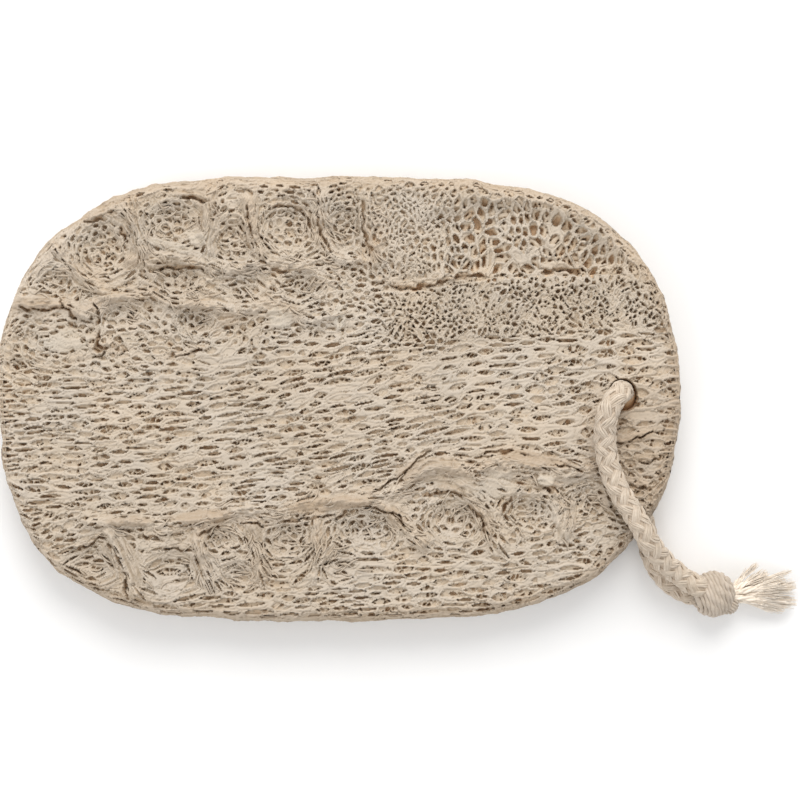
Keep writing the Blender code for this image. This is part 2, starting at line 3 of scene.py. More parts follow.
import bpy
import numpy as np
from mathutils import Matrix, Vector


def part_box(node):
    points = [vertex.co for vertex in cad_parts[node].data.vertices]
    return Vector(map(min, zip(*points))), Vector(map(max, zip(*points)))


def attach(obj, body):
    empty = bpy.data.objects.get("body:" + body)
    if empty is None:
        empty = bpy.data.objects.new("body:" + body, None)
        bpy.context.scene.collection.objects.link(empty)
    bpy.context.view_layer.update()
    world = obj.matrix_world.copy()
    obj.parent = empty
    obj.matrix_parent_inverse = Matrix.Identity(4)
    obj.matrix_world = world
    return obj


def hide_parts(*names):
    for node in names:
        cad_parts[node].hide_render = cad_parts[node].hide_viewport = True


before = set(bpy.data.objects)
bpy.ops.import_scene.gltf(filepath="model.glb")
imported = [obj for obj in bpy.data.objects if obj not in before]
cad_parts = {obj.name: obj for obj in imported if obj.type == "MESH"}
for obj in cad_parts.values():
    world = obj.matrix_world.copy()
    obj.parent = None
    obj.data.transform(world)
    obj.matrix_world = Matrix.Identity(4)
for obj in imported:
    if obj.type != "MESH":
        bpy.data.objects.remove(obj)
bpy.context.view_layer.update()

# Looks of the loofah pad: a net of fibres in layers over the gourd's relief, and a braided cotton rope.
# Lengths are in millimetres, and MM turns them into Blender's metres. Angles are in radians.
MM = 0.001
PAD_LOW, PAD_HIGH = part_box("loofah_pad")
PAD_LENGTH = (PAD_HIGH.x - PAD_LOW.x) / MM
PAD_WIDTH = (PAD_HIGH.y - PAD_LOW.y) / MM

# The pad's outline and thickness, as in the part's source
PAD_THICKNESS = 12.0
STRAIGHT_HALF = 15.3
END_BULGE_RIGHT_TOP = 2.5
END_BULGE_LEFT_TOP = 2.5
END_BULGE_LEFT_BOTTOM = 2.8
END_BULGE_RIGHT_BOTTOM = 2.45
RIGHT_END_SPAN = (18.0, 62.0)
RIGHT_END_SWELL = 0.9
RIGHT_END_LIFT = 3.2
RIM_LIFT = 0.9
RIM_LIFT_WIDTH = 16.0
REST_MARGIN = 0.35

# The way the fibres run: they sway along the pad, and its middle band and lower edge have the long ones
FIBRE_SWAY = 8.5
FIBRE_SWAY_LENGTH = 45.0
FIBRE_SWAY_START = -4.0
LONG_BAND_MIDDLE = -3.0
LONG_BAND_HALF_WIDTH = 12.5
LONG_BAND_FADE = 18.0
LOWER_LONG_SPAN = (30.0, 36.0)

# Finest steps of the relief, and how far inside the outline the side takes over from each face
TOP_STEP = 0.21
UNDER_STEP = 0.5
SIDE_STEP = 0.36
SIDE_INSET = 0.5
UNDER_INSET = 1.9
OUTLINE_POINTS = 1400

# Points in a quarter of the uncut outline, and the scissors' waves: size, number round the pad, phase
QUARTER_POINTS = 240
CUT_WAVES = ((0.30, 3, 0.6), (0.22, 8, 2.1), (0.16, 17, 0.9), (0.12, 31, 4.0))

# Seed chambers pressed into the inner face: centre, half-length, half-width and depth.
SEED_CHAMBERS = (
    (-50.5, 33.0, 7.0, 8.0, 2.6),
    (-35.5, 38.5, 7.5, 5.5, 2.6),
    (-23.0, 34.5, 4.6, 6.5, 2.2),
    (-11.0, 37.5, 7.2, 6.8, 2.8),
    (2.0, 37.5, 4.8, 6.5, 2.0),
    (-62.0, 26.0, 4.5, 4.0, 1.4),
    (-35.5, 26.5, 6.5, 4.4, 2.2),
    (-20.5, 24.5, 5.6, 4.5, 2.0),
    (-7.5, 24.5, 4.6, 4.5, 2.0),
    (-47.0, 18.5, 4.5, 3.4, 2.0),
    (-31.0, 17.5, 4.2, 3.2, 2.8),
    (-70.0, 7.5, 4.0, 2.4, 1.2),
    (-54.0, -36.5, 5.8, 5.8, 2.4),
    (-36.5, -37.0, 5.4, 5.8, 2.2),
    (-26.0, -30.5, 4.2, 3.6, 1.8),
    (-22.0, -38.5, 4.0, 3.8, 1.6),
    (-11.5, -30.5, 5.6, 4.2, 2.3),
    (0.0, -37.0, 4.0, 3.4, 1.4),
    (6.5, -28.3, 7.2, 4.6, 2.6),
    (25.5, -26.3, 6.4, 5.2, 2.6),
    (42.0, -24.5, 6.4, 4.8, 2.6),
    (54.5, -22.5, 4.8, 4.6, 1.6),
)

# Torn walls left standing between the chambers: height, half-thickness and the line each follows.
SEPTA = (
    (1.6, 1.5, ((-61.0, 33.0), (-57.0, 27.5), (-51.0, 24.0))),
    (1.7, 1.6, ((-45.5, 43.0), (-43.5, 35.0), (-42.0, 30.5))),
    (1.7, 1.5, ((-28.0, 45.5), (-28.6, 38.0), (-28.5, 30.5))),
    (1.7, 1.5, ((-19.5, 43.0), (-18.4, 36.0), (-16.5, 31.0))),
    (1.7, 1.5, ((-4.0, 44.5), (-4.0, 37.0), (-1.5, 31.0))),
    (1.8, 1.7, ((6.3, 44.0), (6.6, 37.0), (8.4, 30.0))),
    (1.5, 1.3, ((-45.0, 30.0), (-38.0, 31.0), (-28.5, 30.0), (-24.0, 28.6), (-16.0, 30.3))),
    (1.5, 1.3, ((-16.0, 30.3), (-9.0, 29.2), (-2.0, 31.0), (8.0, 30.2))),
    (1.7, 1.4, ((-71.0, 21.5), (-66.0, 21.0), (-60.0, 21.2), (-55.0, 19.0), (-50.0, 22.5))),
    (1.7, 1.4, ((-50.0, 22.5), (-41.0, 23.0), (-37.0, 20.8), (-27.0, 20.8), (-22.0, 19.6))),
    (1.6, 1.4, ((-22.0, 19.6), (-13.0, 20.6), (-6.0, 18.0), (2.0, 19.0))),
    (1.8, 1.6, ((-54.0, -26.5), (-46.0, -26.0), (-37.0, -27.5), (-28.0, -26.0), (-21.0, -23.5))),
    (1.8, 1.6, ((-21.0, -23.5), (-14.0, -25.0), (-6.0, -22.5), (3.0, -22.0), (8.0, -21.5))),
    (1.8, 1.8, ((8.0, -21.5), (14.0, -19.0), (19.0, -14.0), (25.0, -14.5), (30.0, -15.5))),
    (1.8, 1.8, ((30.0, -15.5), (35.0, -13.0), (42.0, -14.5), (48.0, -16.0), (54.0, -15.0))),
    (1.6, 1.5, ((-50.0, -29.0), (-47.5, -35.0), (-44.5, -42.0))),
    (1.5, 1.5, ((-31.0, -28.0), (-30.0, -34.0), (-28.0, -40.5))),
    (1.4, 1.4, ((-19.5, -27.0), (-18.0, -33.0), (-16.5, -39.0))),
    (1.4, 1.4, ((-5.0, -25.5), (-4.0, -31.0), (-5.5, -38.0))),
    (1.6, 1.5, ((8.5, -21.5), (12.5, -26.0), (18.0, -31.0))),
    (1.6, 1.5, ((27.0, -19.0), (31.5, -26.0), (35.0, -32.0))),
    (1.5, 1.5, ((46.5, -19.0), (48.5, -24.0), (49.5, -29.0))),
)

# Coarse open net at the upper right, lying lower than the fine sheet whose edge is below it.
COARSE_CENTRE = (42.0, 35.5)
COARSE_HALF_SIZE = (25.0, 9.5)
COARSE_BORDER = (0.75, 1.15)
COARSE_DROP = 1.9
SHEET_EDGE = ((8.0, 23.6), (19.0, 24.2), (35.0, 26.6), (52.0, 27.4), (65.0, 27.4))
SHEET_STEP = 1.3
SHEET_STEP_WIDTH = 8.0

# Cracks and shadowed edges: half-width, depth and line. The left side of each line stands up as a lip, and
# each pit is painted brown as shade.
CRACKS = (
    (0.45, 2.2, ((-52.6, 11.8), (-52.2, 15.5), (-52.8, 20.5))),
    (0.75, 2.2, ((-52.8, 11.4), (-49.3, 10.8))),
    (0.40, 1.6, ((-59.0, 7.5), (-55.0, 8.8), (-52.0, 9.8), (-46.0, 10.3))),
    (0.35, 1.2, ((-37.0, 9.5), (-30.0, 10.5))),
    (0.80, 2.6, ((-33.5, 19.0), (-30.5, 19.5), (-27.5, 19.0))),
    (0.60, 2.4, ((-33.8, 44.2), (-31.0, 44.0), (-28.8, 43.2))),
    (0.45, 1.7, ((-14.0, 41.6), (-10.5, 42.0), (-7.3, 40.6), (-5.8, 38.0))),
    (0.40, 1.6, ((-55.0, 39.0), (-51.0, 40.0), (-47.5, 38.0), (-45.5, 34.0))),
    (0.35, 1.3, ((-60.5, 21.5), (-57.5, 17.5))),
    (0.45, 1.5, ((-69.0, 20.0), (-64.5, 19.4), (-60.0, 20.0))),
    (0.45, 1.6, ((-4.6, 43.5), (-4.4, 38.0), (-1.8, 32.5))),
    (0.40, 1.4, ((-19.8, 42.0), (-18.9, 36.0), (-17.0, 31.5))),
    (0.40, 1.4, ((5.2, 43.0), (5.6, 37.0), (7.4, 31.0))),
    (0.50, 1.8, ((-16.5, 28.6), (-12.0, 27.8), (-8.5, 28.2))),
    (0.45, 1.7, ((-38.5, 29.0), (-33.0, 29.2), (-29.5, 28.2))),
    (0.50, 1.6, ((9.5, 25.4), (14.0, 24.2), (18.0, 24.7), (23.5, 26.0))),
    (0.50, 1.8, ((26.0, 26.4), (31.0, 27.2))),
    (0.55, 2.0, ((40.5, 28.0), (46.0, 28.3), (53.0, 28.4))),
    (0.80, 2.6, ((39.7, -19.4), (43.0, -19.9), (46.4, -19.4))),
    (0.45, 1.8, ((-0.5, -25.6), (3.5, -23.7), (8.0, -23.2), (12.0, -25.0), (15.5, -28.2))),
    (0.45, 1.6, ((19.5, -21.0), (23.5, -19.8), (27.0, -21.0), (30.0, -24.5), (33.0, -30.0))),
    (0.40, 1.5, ((36.0, -24.0), (38.0, -21.3))),
    (0.35, 1.3, ((8.0, -20.2), (13.0, -17.2), (17.0, -13.0), (20.5, -11.4))),
    (0.35, 1.3, ((32.5, -11.6), (38.0, -11.4), (45.0, -13.2), (53.0, -15.4))),
    (0.50, 2.0, ((-46.6, -42.0), (-46.8, -38.5), (-48.3, -35.0), (-50.3, -31.8))),
    (0.35, 1.4, ((-57.0, -32.4), (-53.5, -31.0), (-51.0, -30.0))),
    (0.35, 1.3, ((-43.0, -29.8), (-39.0, -30.6))),
    (0.60, 2.0, ((-30.0, -29.0), (-26.5, -27.8))),
    (0.35, 1.4, ((-38.0, -32.6), (-33.0, -32.8))),
    (0.35, 1.4, ((-21.0, -26.6), (-16.0, -27.6), (-10.0, -26.0), (-4.0, -25.4))),
    (0.30, 1.2, ((63.0, -14.2), (66.0, -14.0), (69.5, -13.0))),
    (0.35, 1.3, ((60.5, -9.3), (64.0, -9.2), (68.5, -7.0))),
    (0.50, 2.0, ((65.6, -19.6), (66.6, -19.4))),
)

# Closed skins between the fibres: centre, half-length, half-width, turn, rise, and tone from tan to white.
SKINS = (
    (-59.0, 13.0, 6.2, 2.8, 0.12, 0.45, 0.8),
    (-12.5, 18.0, 3.2, 2.4, 0.20, 0.55, 1.0),
    (0.2, 18.0, 1.7, 3.1, 0.00, 0.70, 0.9),
    (-37.0, 33.6, 7.5, 1.3, -0.22, 0.50, 0.6),
    (-31.0, 35.6, 2.4, 1.9, -0.30, 0.35, 0.9),
    (-28.5, 38.5, 1.0, 5.5, 0.05, 0.40, 0.2),
    (-66.0, 21.6, 4.0, 1.4, 0.10, 0.45, -0.3),
    (-24.0, 17.6, 3.0, 1.8, 0.30, 0.45, -0.5),
    (-46.0, 13.2, 3.4, 1.6, -0.30, 0.35, 0.3),
    (45.0, -17.4, 2.4, 1.6, 0.00, 1.00, 1.0),
    (20.0, -15.2, 8.5, 3.4, 0.12, 0.50, -0.45),
    (27.5, -18.2, 4.6, 2.8, -0.35, 0.40, -0.1),
    (34.6, -18.2, 5.2, 3.8, -0.30, 0.50, 0.4),
    (42.0, -12.8, 9.5, 1.8, -0.18, 0.55, -0.7),
    (23.5, -18.6, 2.6, 1.8, -0.50, 0.45, -0.2),
    (-3.0, -22.9, 10.5, 1.8, 0.10, 0.60, -0.9),
    (-18.0, -28.8, 2.8, 3.0, 0.30, 0.50, -0.1),
    (-30.0, -25.4, 8.0, 1.5, 0.08, 0.45, -0.8),
    (-46.0, -26.6, 6.5, 1.2, 0.02, 0.45, -0.7),
    (-45.4, -35.5, 1.9, 6.2, 0.35, 0.45, -0.1),
    (12.5, -26.0, 1.4, 4.4, 0.75, 0.40, -0.4),
    (31.0, -26.2, 1.4, 4.6, 0.50, 0.40, -0.3),
    (65.0, -8.0, 4.5, 1.1, 0.25, 0.45, -0.8),
    (66.5, -12.4, 3.6, 1.0, 0.12, 0.40, -0.5),
)

# The rope's route, repeated from the part's source, the ends of its braid in the knot, and the
# heights from which it counts as lying above the pad and to which it counts as below
ROPE_DIAMETER = 5.2
ROPE_ROUTE = (
    (79.3, -41.4, 8.0),
    (76.8, -40.0, 8.1),
    (73.7, -37.7, 9.0),
    (70.4, -34.5, 11.5),
    (67.7, -31.0, 14.0),
    (65.9, -27.6, 15.1),
    (63.6, -23.9, 15.4),
    (60.9, -19.6, 15.3),
    (58.9, -14.7, 15.1),
    (57.9, -9.6, 15.4),
    (57.8, -5.4, 16.6),
    (58.3, -2.4, 17.5),
    (59.5, 0.0, 17.2),
    (60.9, 1.5, 15.4),
    (61.8, 1.9, 12.6),
    (62.2, 1.1, 9.4),
    (62.5, -1.0, 6.3),
    (62.8, -4.7, 3.9),
    (63.5, -10.0, 2.8),
    (65.1, -17.5, 2.75),
    (67.1, -25.0, 2.75),
    (68.6, -31.8, 2.75),
    (70.0, -36.3, 2.75),
    (72.2, -39.7, 2.75),
    (74.8, -42.0, 2.75),
    (77.2, -43.2, 2.8),
    (79.2, -43.9, 2.9),
)
ROPE_TUCKS = ((81.1, -42.4, 6.9), (81.3, -44.6, 3.6))
LEG_ABOVE_FROM = 8.0
LEG_BELOW_TO = 10.0

# The top net: half a fibre's width, each cell's half-length and half-width, and its gap's share of them
STRAND_HALF = 0.24
CELL_LENGTH = 2.7
LONG_CELL_EXTRA = 2.8
CELL_WIDTH = 1.6
NARROWEST_CELL = 0.85
GAP_LONG = 0.42
GAP_LONG_EXTRA = 0.02
GAP_WIDE = 0.34
GAP_WIDE_LESS = 0.03
WIDE_END_SPAN = (30.0, 60.0)
COARSE_CELL_LENGTH = 3.5
COARSE_CELL_WIDTH = 2.1
COARSE_GAP = 0.50
FINE_CELL_LENGTH = 1.75
FINE_CELL_WIDTH = 1.12
FINE_GAP_LONG = 0.42
FINE_GAP_WIDE = 0.30

# The top relief: shares of the source's depths that it takes, the depth past which a chamber is closely
# ringed by fibres, the top fibres' rounding and slits, and the layers under them
CHAMBER_DEPTH_SHARE = 0.75
WELL_RINGED_DEPTH = 2.5
CRACK_DEPTH_SHARE = 0.35
TOP_CROWN = 0.42
SLIT_DEPTH = 0.36
WEB_CELL_LENGTH = 1.75
WEB_CELL_WIDTH = 0.98
WEB_DROP = 0.45
WEB_CROWN = 0.22
SECOND_DROP = 0.66
SECOND_CROWN = 0.4
THIRD_DROP = 1.15
THIRD_CROWN = 0.5
FLOOR_DROP = 1.8
WEB_GAP_WIDTH = 0.43
DEEPEST_MARK = 3.6

# The top face's rim: where its fibres start to follow the outline, how it falls to the side, the span of the
# left rim that gets painted light, and the patch beside the rope, which is made tanner and a little darker
RIM_WIDTH = 5.0
RIM_TOP_INSET = 3.0
RIM_SMOOTHING = 20
RIM_FALL = 2.8
RIM_FALL_WIDTH = 3.6
LEFT_RIM_SPAN = (50.0, 66.0)
ROPE_SIDE_SPAN = (50.0, 62.0)
ROPE_SIDE_MIDDLE = -10.0
ROPE_SIDE_HALF_WIDTHS = (9.0, 17.0)

# The side: insets from the outline, and rises from the top face's rim and from the underside's
SIDE_HEIGHT = 17.0
SIDE_FROM_TOP = ((1.5, -1.25), (0.8, -1.72), (0.5, -1.88), (0.25, -2.35), (0.06, -3.3))
SIDE_MIDDLE_RISE = 0.3
SIDE_FROM_UNDER = ((0.15, 3.0), (0.5, 2.0), (1.1, 1.25), (1.9, 0.85), (2.9, 0.75))
SIDE_PIT = 1.15
SIDE_DEEPEST_MARK = 2.6
SIDE_TOP_SEAM = (0.02, 0.085)
SIDE_UNDER_SEAM = (0.92, 0.98)

# The underside: the cells' half-length and half-width in its two layers, half a fibre's width, and depths
UNDER_CELL = (5.2, 1.9)
UNDER_INNER_CELL = (3.2, 1.7)
UNDER_STRAND_HALF = 0.52
UNDER_INNER_STRAND_HALF = 0.45
UNDER_INNER_DROP = 0.75
UNDER_FLOOR_DROP = 1.9
UNDER_LOWEST = 0.33
UNDER_DEEPEST_MARK = 5.0
UNDER_RIM_INSET = 3.8

# How far a cell can reach in its own lengths, a value past that, a depth well inside the outline, an
# openness that opens every cell, and the name of the colour marks
CELL_REACH = 1.55
PAST_REACH = 9.0
WELL_INSIDE = 9.0
ALL_OPEN = 2.0
MARKS_NAME = "fibre_marks"

# The braid: length of a strand's turn, the yarns in a strand, their radius and the angle between them,
# the radii of the ring that they lie on and of the core, and the length over which each end draws in
BRAID_TURN = 18.0
YARNS = 5
YARN_RADIUS = 0.275
YARN_SPACING = 0.195
BRAID_RADIUS = 2.11
BRAID_CORE_RADIUS = 1.97
DRAWN_IN_LENGTH = 3.2

# The knot's broad turn and its small second one: centre, radii, axis, yarns, the points round a yarn,
# its radius, and the core
KNOT_MIDDLE = (82.9, -43.3, 5.15)
KNOT_RADII = (4.3, 4.65, 4.5)
KNOT_AXIS = (0.93, 0.36, 0.05)
KNOT_YARNS = 12
KNOT_POINTS = 56
KNOT_YARN_RADIUS = 0.50
KNOT_CORE = (4.4, 4.35)
LOBE_MIDDLE = (86.3, -45.6, 4.1)
LOBE_RADII = (2.1, 2.1, 2.9)
LOBE_AXIS = (0.55, 0.80, 0.10)
LOBE_YARNS = 8
LOBE_POINTS = 30
LOBE_YARN_RADIUS = 0.36
LOBE_CORE = (2.15, 2.2)
CORE_MARK = (0.5, 0.4, 0.0, 0.0)

# The frayed ends: where they leave the knot, and each clump's tip, spread there and share of the fibres
TASSEL_ROOT = (87.4, -43.4, 4.4)
CLUMPS = (
    ((92.8, -36.6, 4.2), 0.8, 22),
    ((95.2, -38.6, 3.6), 1.2, 34),
    ((100.4, -38.4, 3.4), 0.7, 22),
    ((99.2, -40.6, 4.4), 1.5, 46),
    ((101.4, -41.8, 3.2), 1.6, 50),
    ((97.4, -42.8, 4.8), 1.5, 36),
    ((101.9, -45.4, 2.6), 1.5, 48),
    ((99.0, -47.3, 2.0), 1.3, 40),
    ((95.6, -45.6, 3.4), 1.2, 30),
)

# Points along a frayed fibre, steps between the clumps' roots, the fibres in one share, the lowest
# heights of fibres and yarns, and the radius of a yarn at the root
TASSEL_STEPS = 9
CLUMP_SPACING = 0.30
CLUMP_STAGGER = 0.9
FIBRE_SHARE = 3
LOWEST_FIBRE = 0.2
LOWEST_YARN = 0.5
END_YARN_RADIUS = 0.36

# Loose fibres: their number, the points along each, the share of them on the torn walls, and how far
# inside the outline they start
LOOSE_FIBRES = 420
LOOSE_STEPS = 8
LOOSE_WALL_SHARE = 0.55
LOOSE_DEPTH = 3.5

# Dark yarns, pale yarns and a deeper tint that the sunk mark lays on: painted shade on the braid's
# under-passing yarns and core and near the frayed ends' roots, and a tone that differs from yarn to yarn on
# the knot
BRAID_COLOURS = ((0.57, 0.485, 0.39, 1), (0.67, 0.58, 0.48, 1), (0.90, 0.865, 0.83, 1))
KNOT_COLOURS = ((0.64, 0.56, 0.465, 1), (0.74, 0.66, 0.57, 1), (0.78, 0.755, 0.735, 1))
TASSEL_COLOURS = ((0.90, 0.80, 0.68, 1), (0.99, 0.92, 0.83, 1), (0.86, 0.78, 0.67, 1))

# The camera: lens and sensor in millimetres, tilt in degrees, and metres for the rest
CAMERA_LENS = 100.0
CAMERA_SENSOR = 36.0
CAMERA_TILT = 2.0
CAMERA_VIEW_WIDTH = 0.1745
CAMERA_MIDDLE = (0.01338, 0.0, 0.012)


# Meshes and numbers

def mesh_piece(name, points, faces, material, normals=None, marks=None):
    """A piece of the object from arrays of points in millimetres and faces with equally many corners."""
    corners = faces.shape[1]
    mesh = bpy.data.meshes.new(name)
    mesh.vertices.add(len(points))
    mesh.vertices.foreach_set("co", (points * MM).astype(np.float32).ravel())
    mesh.loops.add(faces.size)
    mesh.loops.foreach_set("vertex_index", faces.astype(np.int32).ravel())
    mesh.polygons.add(len(faces))
    mesh.polygons.foreach_set("loop_start", np.arange(0, faces.size, corners, dtype=np.int32))
    mesh.update(calc_edges=True)
    mesh.shade_smooth()
    if marks is not None:
        layer = mesh.color_attributes.new(MARKS_NAME, "FLOAT_COLOR", "POINT")
        layer.data.foreach_set("color", marks.astype(np.float32).ravel())
    if normals is not None:
        mesh.normals_split_custom_set_from_vertices(normals.astype(np.float32))
    mesh.materials.append(material)
    piece = bpy.data.objects.new(name, mesh)
    bpy.context.scene.collection.objects.link(piece)
    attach(piece, "root")
    return piece


def smooth_step(low, high, value):
    t = np.clip((value - low) / (high - low), 0.0, 1.0)
    return t * t * (3.0 - 2.0 * t)


def lattice_value(i, j, seed):
    """A number from 0 to 1 that seems random, the same each time for the same place and seed."""
    wave = np.sin(i * 12.9898 + j * 78.233 + seed * 37.719) * 43758.5453
    return wave - np.floor(wave)


def noise(x, y, size, seed):
    """Soft noise from -1 to 1 whose lumps are about the given size."""
    u = x / size
    v = y / size
    i = np.floor(u)
    j = np.floor(v)
    fu = (u - i) ** 2 * (3.0 - 2.0 * (u - i))
    fv = (v - j) ** 2 * (3.0 - 2.0 * (v - j))
    low = lattice_value(i, j, seed) * (1 - fu) + lattice_value(i + 1, j, seed) * fu
    high = lattice_value(i, j + 1, seed) * (1 - fu) + lattice_value(i + 1, j + 1, seed) * fu
    return 2.0 * (low * (1 - fv) + high * fv) - 1.0


def unit(v):
    return v / np.maximum(np.linalg.norm(v, axis=-1, keepdims=True), 1e-9)


# Outline of the pad

def quadrant(turn, bulge, sign_x, sign_y):
    """A quarter of the uncut outline: a superellipse's arc past a straight stretch."""
    end_half = PAD_LENGTH / 2.0 - STRAIGHT_HALF
    x = STRAIGHT_HALF + end_half * np.abs(np.cos(turn)) ** (2.0 / bulge)
    y = PAD_WIDTH / 2.0 * np.abs(np.sin(turn)) ** (2.0 / bulge)
    return np.column_stack([sign_x * x, sign_y * y])


def hand_cut(share):
    """How far the scissors' waves push the outline out, for a share of the way round."""
    turn = 2.0 * math.pi * share
    push = 0.0
    for size, waves, phase in CUT_WAVES:
        push = push + size * np.sin(waves * turn + phase)
    return push


def spread(points, count):
    """Points at equal steps round a closed line."""
    closed = np.vstack([points, points[:1]])
    steps = np.hypot(*(closed[1:] - closed[:-1]).T)
    along = np.concatenate([[0.0], np.cumsum(steps)])
    at = np.linspace(0.0, along[-1], count, endpoint=False)
    return np.column_stack([np.interp(at, along, closed[:, 0]), np.interp(at, along, closed[:, 1])])


def outward(points):
    """The unit normals of a closed line, pointing out of it."""
    tangent = np.roll(points, -1, axis=0) - np.roll(points, 1, axis=0)
    normal = np.column_stack([tangent[:, 1], -tangent[:, 0]])
    return normal / np.linalg.norm(normal, axis=1)[:, None]


def pad_outline(count):
    """The cut outline as points in order, its size exactly the pad's length and width."""
    quarter = np.arange(QUARTER_POINTS) * 0.5 * math.pi / QUARTER_POINTS
    points = np.vstack([
        quadrant(quarter, END_BULGE_RIGHT_TOP, 1, 1),
        quadrant(math.pi / 2 - quarter, END_BULGE_LEFT_TOP, -1, 1),
        quadrant(quarter, END_BULGE_LEFT_BOTTOM, -1, -1),
        quadrant(math.pi / 2 - quarter, END_BULGE_RIGHT_BOTTOM, 1, -1),
    ])
    points = spread(points, count)
    points = points + outward(points) * hand_cut(np.arange(count) / count)[:, None]
    low = points.min(axis=0)
    high = points.max(axis=0)
    return (points - (low + high) / 2.0) / (high - low) * np.array([PAD_LENGTH, PAD_WIDTH])


OUTLINE = pad_outline(OUTLINE_POINTS)
OUTLINE_NORMAL = outward(OUTLINE)


# Grids of places that a relief is worked out on

class Band:
    """A grid of places over the unrolled side: round the outline, and down from the top face."""

    def __init__(self, step, height):
        self.step = step
        steps = np.hypot(*(np.roll(OUTLINE, -1, axis=0) - OUTLINE).T)
        self.lap = steps.sum()
        self.xs = np.arange(0.0, self.lap, step)
        self.ys = np.arange(0.0, height, step)
        self.x, self.y = np.meshgrid(self.xs, self.ys)
        self.depth = np.full(self.x.shape, WELL_INSIDE)

    def window(self, x, y, half_x, half_y):
        """The rows and columns within a box round a place."""
        c0 = max(int((x - half_x - self.xs[0]) / self.step), 0)
        c1 = min(int((x + half_x - self.xs[0]) / self.step) + 2, len(self.xs))
        r0 = max(int((y - half_y - self.ys[0]) / self.step), 0)
        r1 = min(int((y + half_y - self.ys[0]) / self.step) + 2, len(self.ys))
        return slice(r0, r1), slice(c0, c1)

    def sample(self, values, x, y):
        """The values at the grid's places nearest to the given ones."""
        c = np.clip(np.rint((x - self.xs[0]) / self.step).astype(int), 0, len(self.xs) - 1)
        r = np.clip(np.rint((y - self.ys[0]) / self.step).astype(int), 0, len(self.ys) - 1)
        return values[r, c]

    def even(self, value):
        """The same value at every place."""
        return np.full(self.x.shape, value)


class Sheet(Band):
    """A grid of places over the pad, with the depth of each inside the outline."""

    def __init__(self, step):
        self.step = step
        columns = int(PAD_LENGTH / step) + 5
        rows = int(PAD_WIDTH / step) + 5
        self.xs = (np.arange(columns) - (columns - 1) / 2.0) * step
        self.ys = (np.arange(rows) - (rows - 1) / 2.0) * step
        self.x, self.y = np.meshgrid(self.xs, self.ys)
        self.depth, self.nearest = self.outline_depth()

    def outline_depth(self, reach=8.0):
        """How deep each place is inside the outline, up to a reach, and its nearest outline point."""
        distance = np.full(self.x.shape, reach)
        nearest = np.zeros(self.x.shape, int)
        for k, (px, py) in enumerate(OUTLINE):
            box = self.window(px, py, reach, reach)
            d = np.hypot(self.x[box] - px, self.y[box] - py)
            closer = d < distance[box]
            distance[box][closer] = d[closer]
            nearest[box][closer] = k
        return np.where(self.within_outline(), distance, -distance), nearest

    def within_outline(self):
        inside = np.zeros(self.x.shape, bool)
        ahead = np.roll(OUTLINE, -1, axis=0)
        for r, y in enumerate(self.ys):
            crosses = (OUTLINE[:, 1] > y) != (ahead[:, 1] > y)
            a = OUTLINE[crosses]
            b = ahead[crosses]
            at = np.sort(a[:, 0] + (y - a[:, 1]) * (b[:, 0] - a[:, 0]) / (b[:, 1] - a[:, 1]))
            for left, right in zip(at[::2], at[1::2]):
                inside[r] |= (self.xs > left) & (self.xs < right)
        return inside


# The relief's large forms, after the part's source

def line_distance(line, x, y):
    """Distance to a line of several stretches, positive on its left, and the nearest one's direction."""
    best = np.full(x.shape, 1e9)
    angle = np.zeros(x.shape)
    hand = np.ones(x.shape)
    for (ax, ay), (bx, by) in zip(line[:-1], line[1:]):
        ex, ey = bx - ax, by - ay
        share = np.clip(((x - ax) * ex + (y - ay) * ey) / (ex * ex + ey * ey), 0.0, 1.0)
        d = np.hypot(x - ax - ex * share, y - ay - ey * share)
        angle = np.where(d < best, math.atan2(ey, ex), angle)
        hand = np.where(d < best, np.sign(ex * (y - ay) - ey * (x - ax)), hand)
        best = np.minimum(best, d)
    return best * hand, angle


def coarse_share(x, y):
    """1 in the coarse net, falling to 0 round it."""
    reach_x = (x - COARSE_CENTRE[0]) / COARSE_HALF_SIZE[0]
    reach_y = (y - COARSE_CENTRE[1]) / COARSE_HALF_SIZE[1]
    return 1.0 - smooth_step(*COARSE_BORDER, np.hypot(reach_x, reach_y))


def right_end(x):
    """0 over most of the pad, growing to 1 at its right end."""
    return smooth_step(*RIGHT_END_SPAN, x)


def above_sheet_edge(x, y):
    return y - np.interp(x, [p[0] for p in SHEET_EDGE], [p[1] for p in SHEET_EDGE])


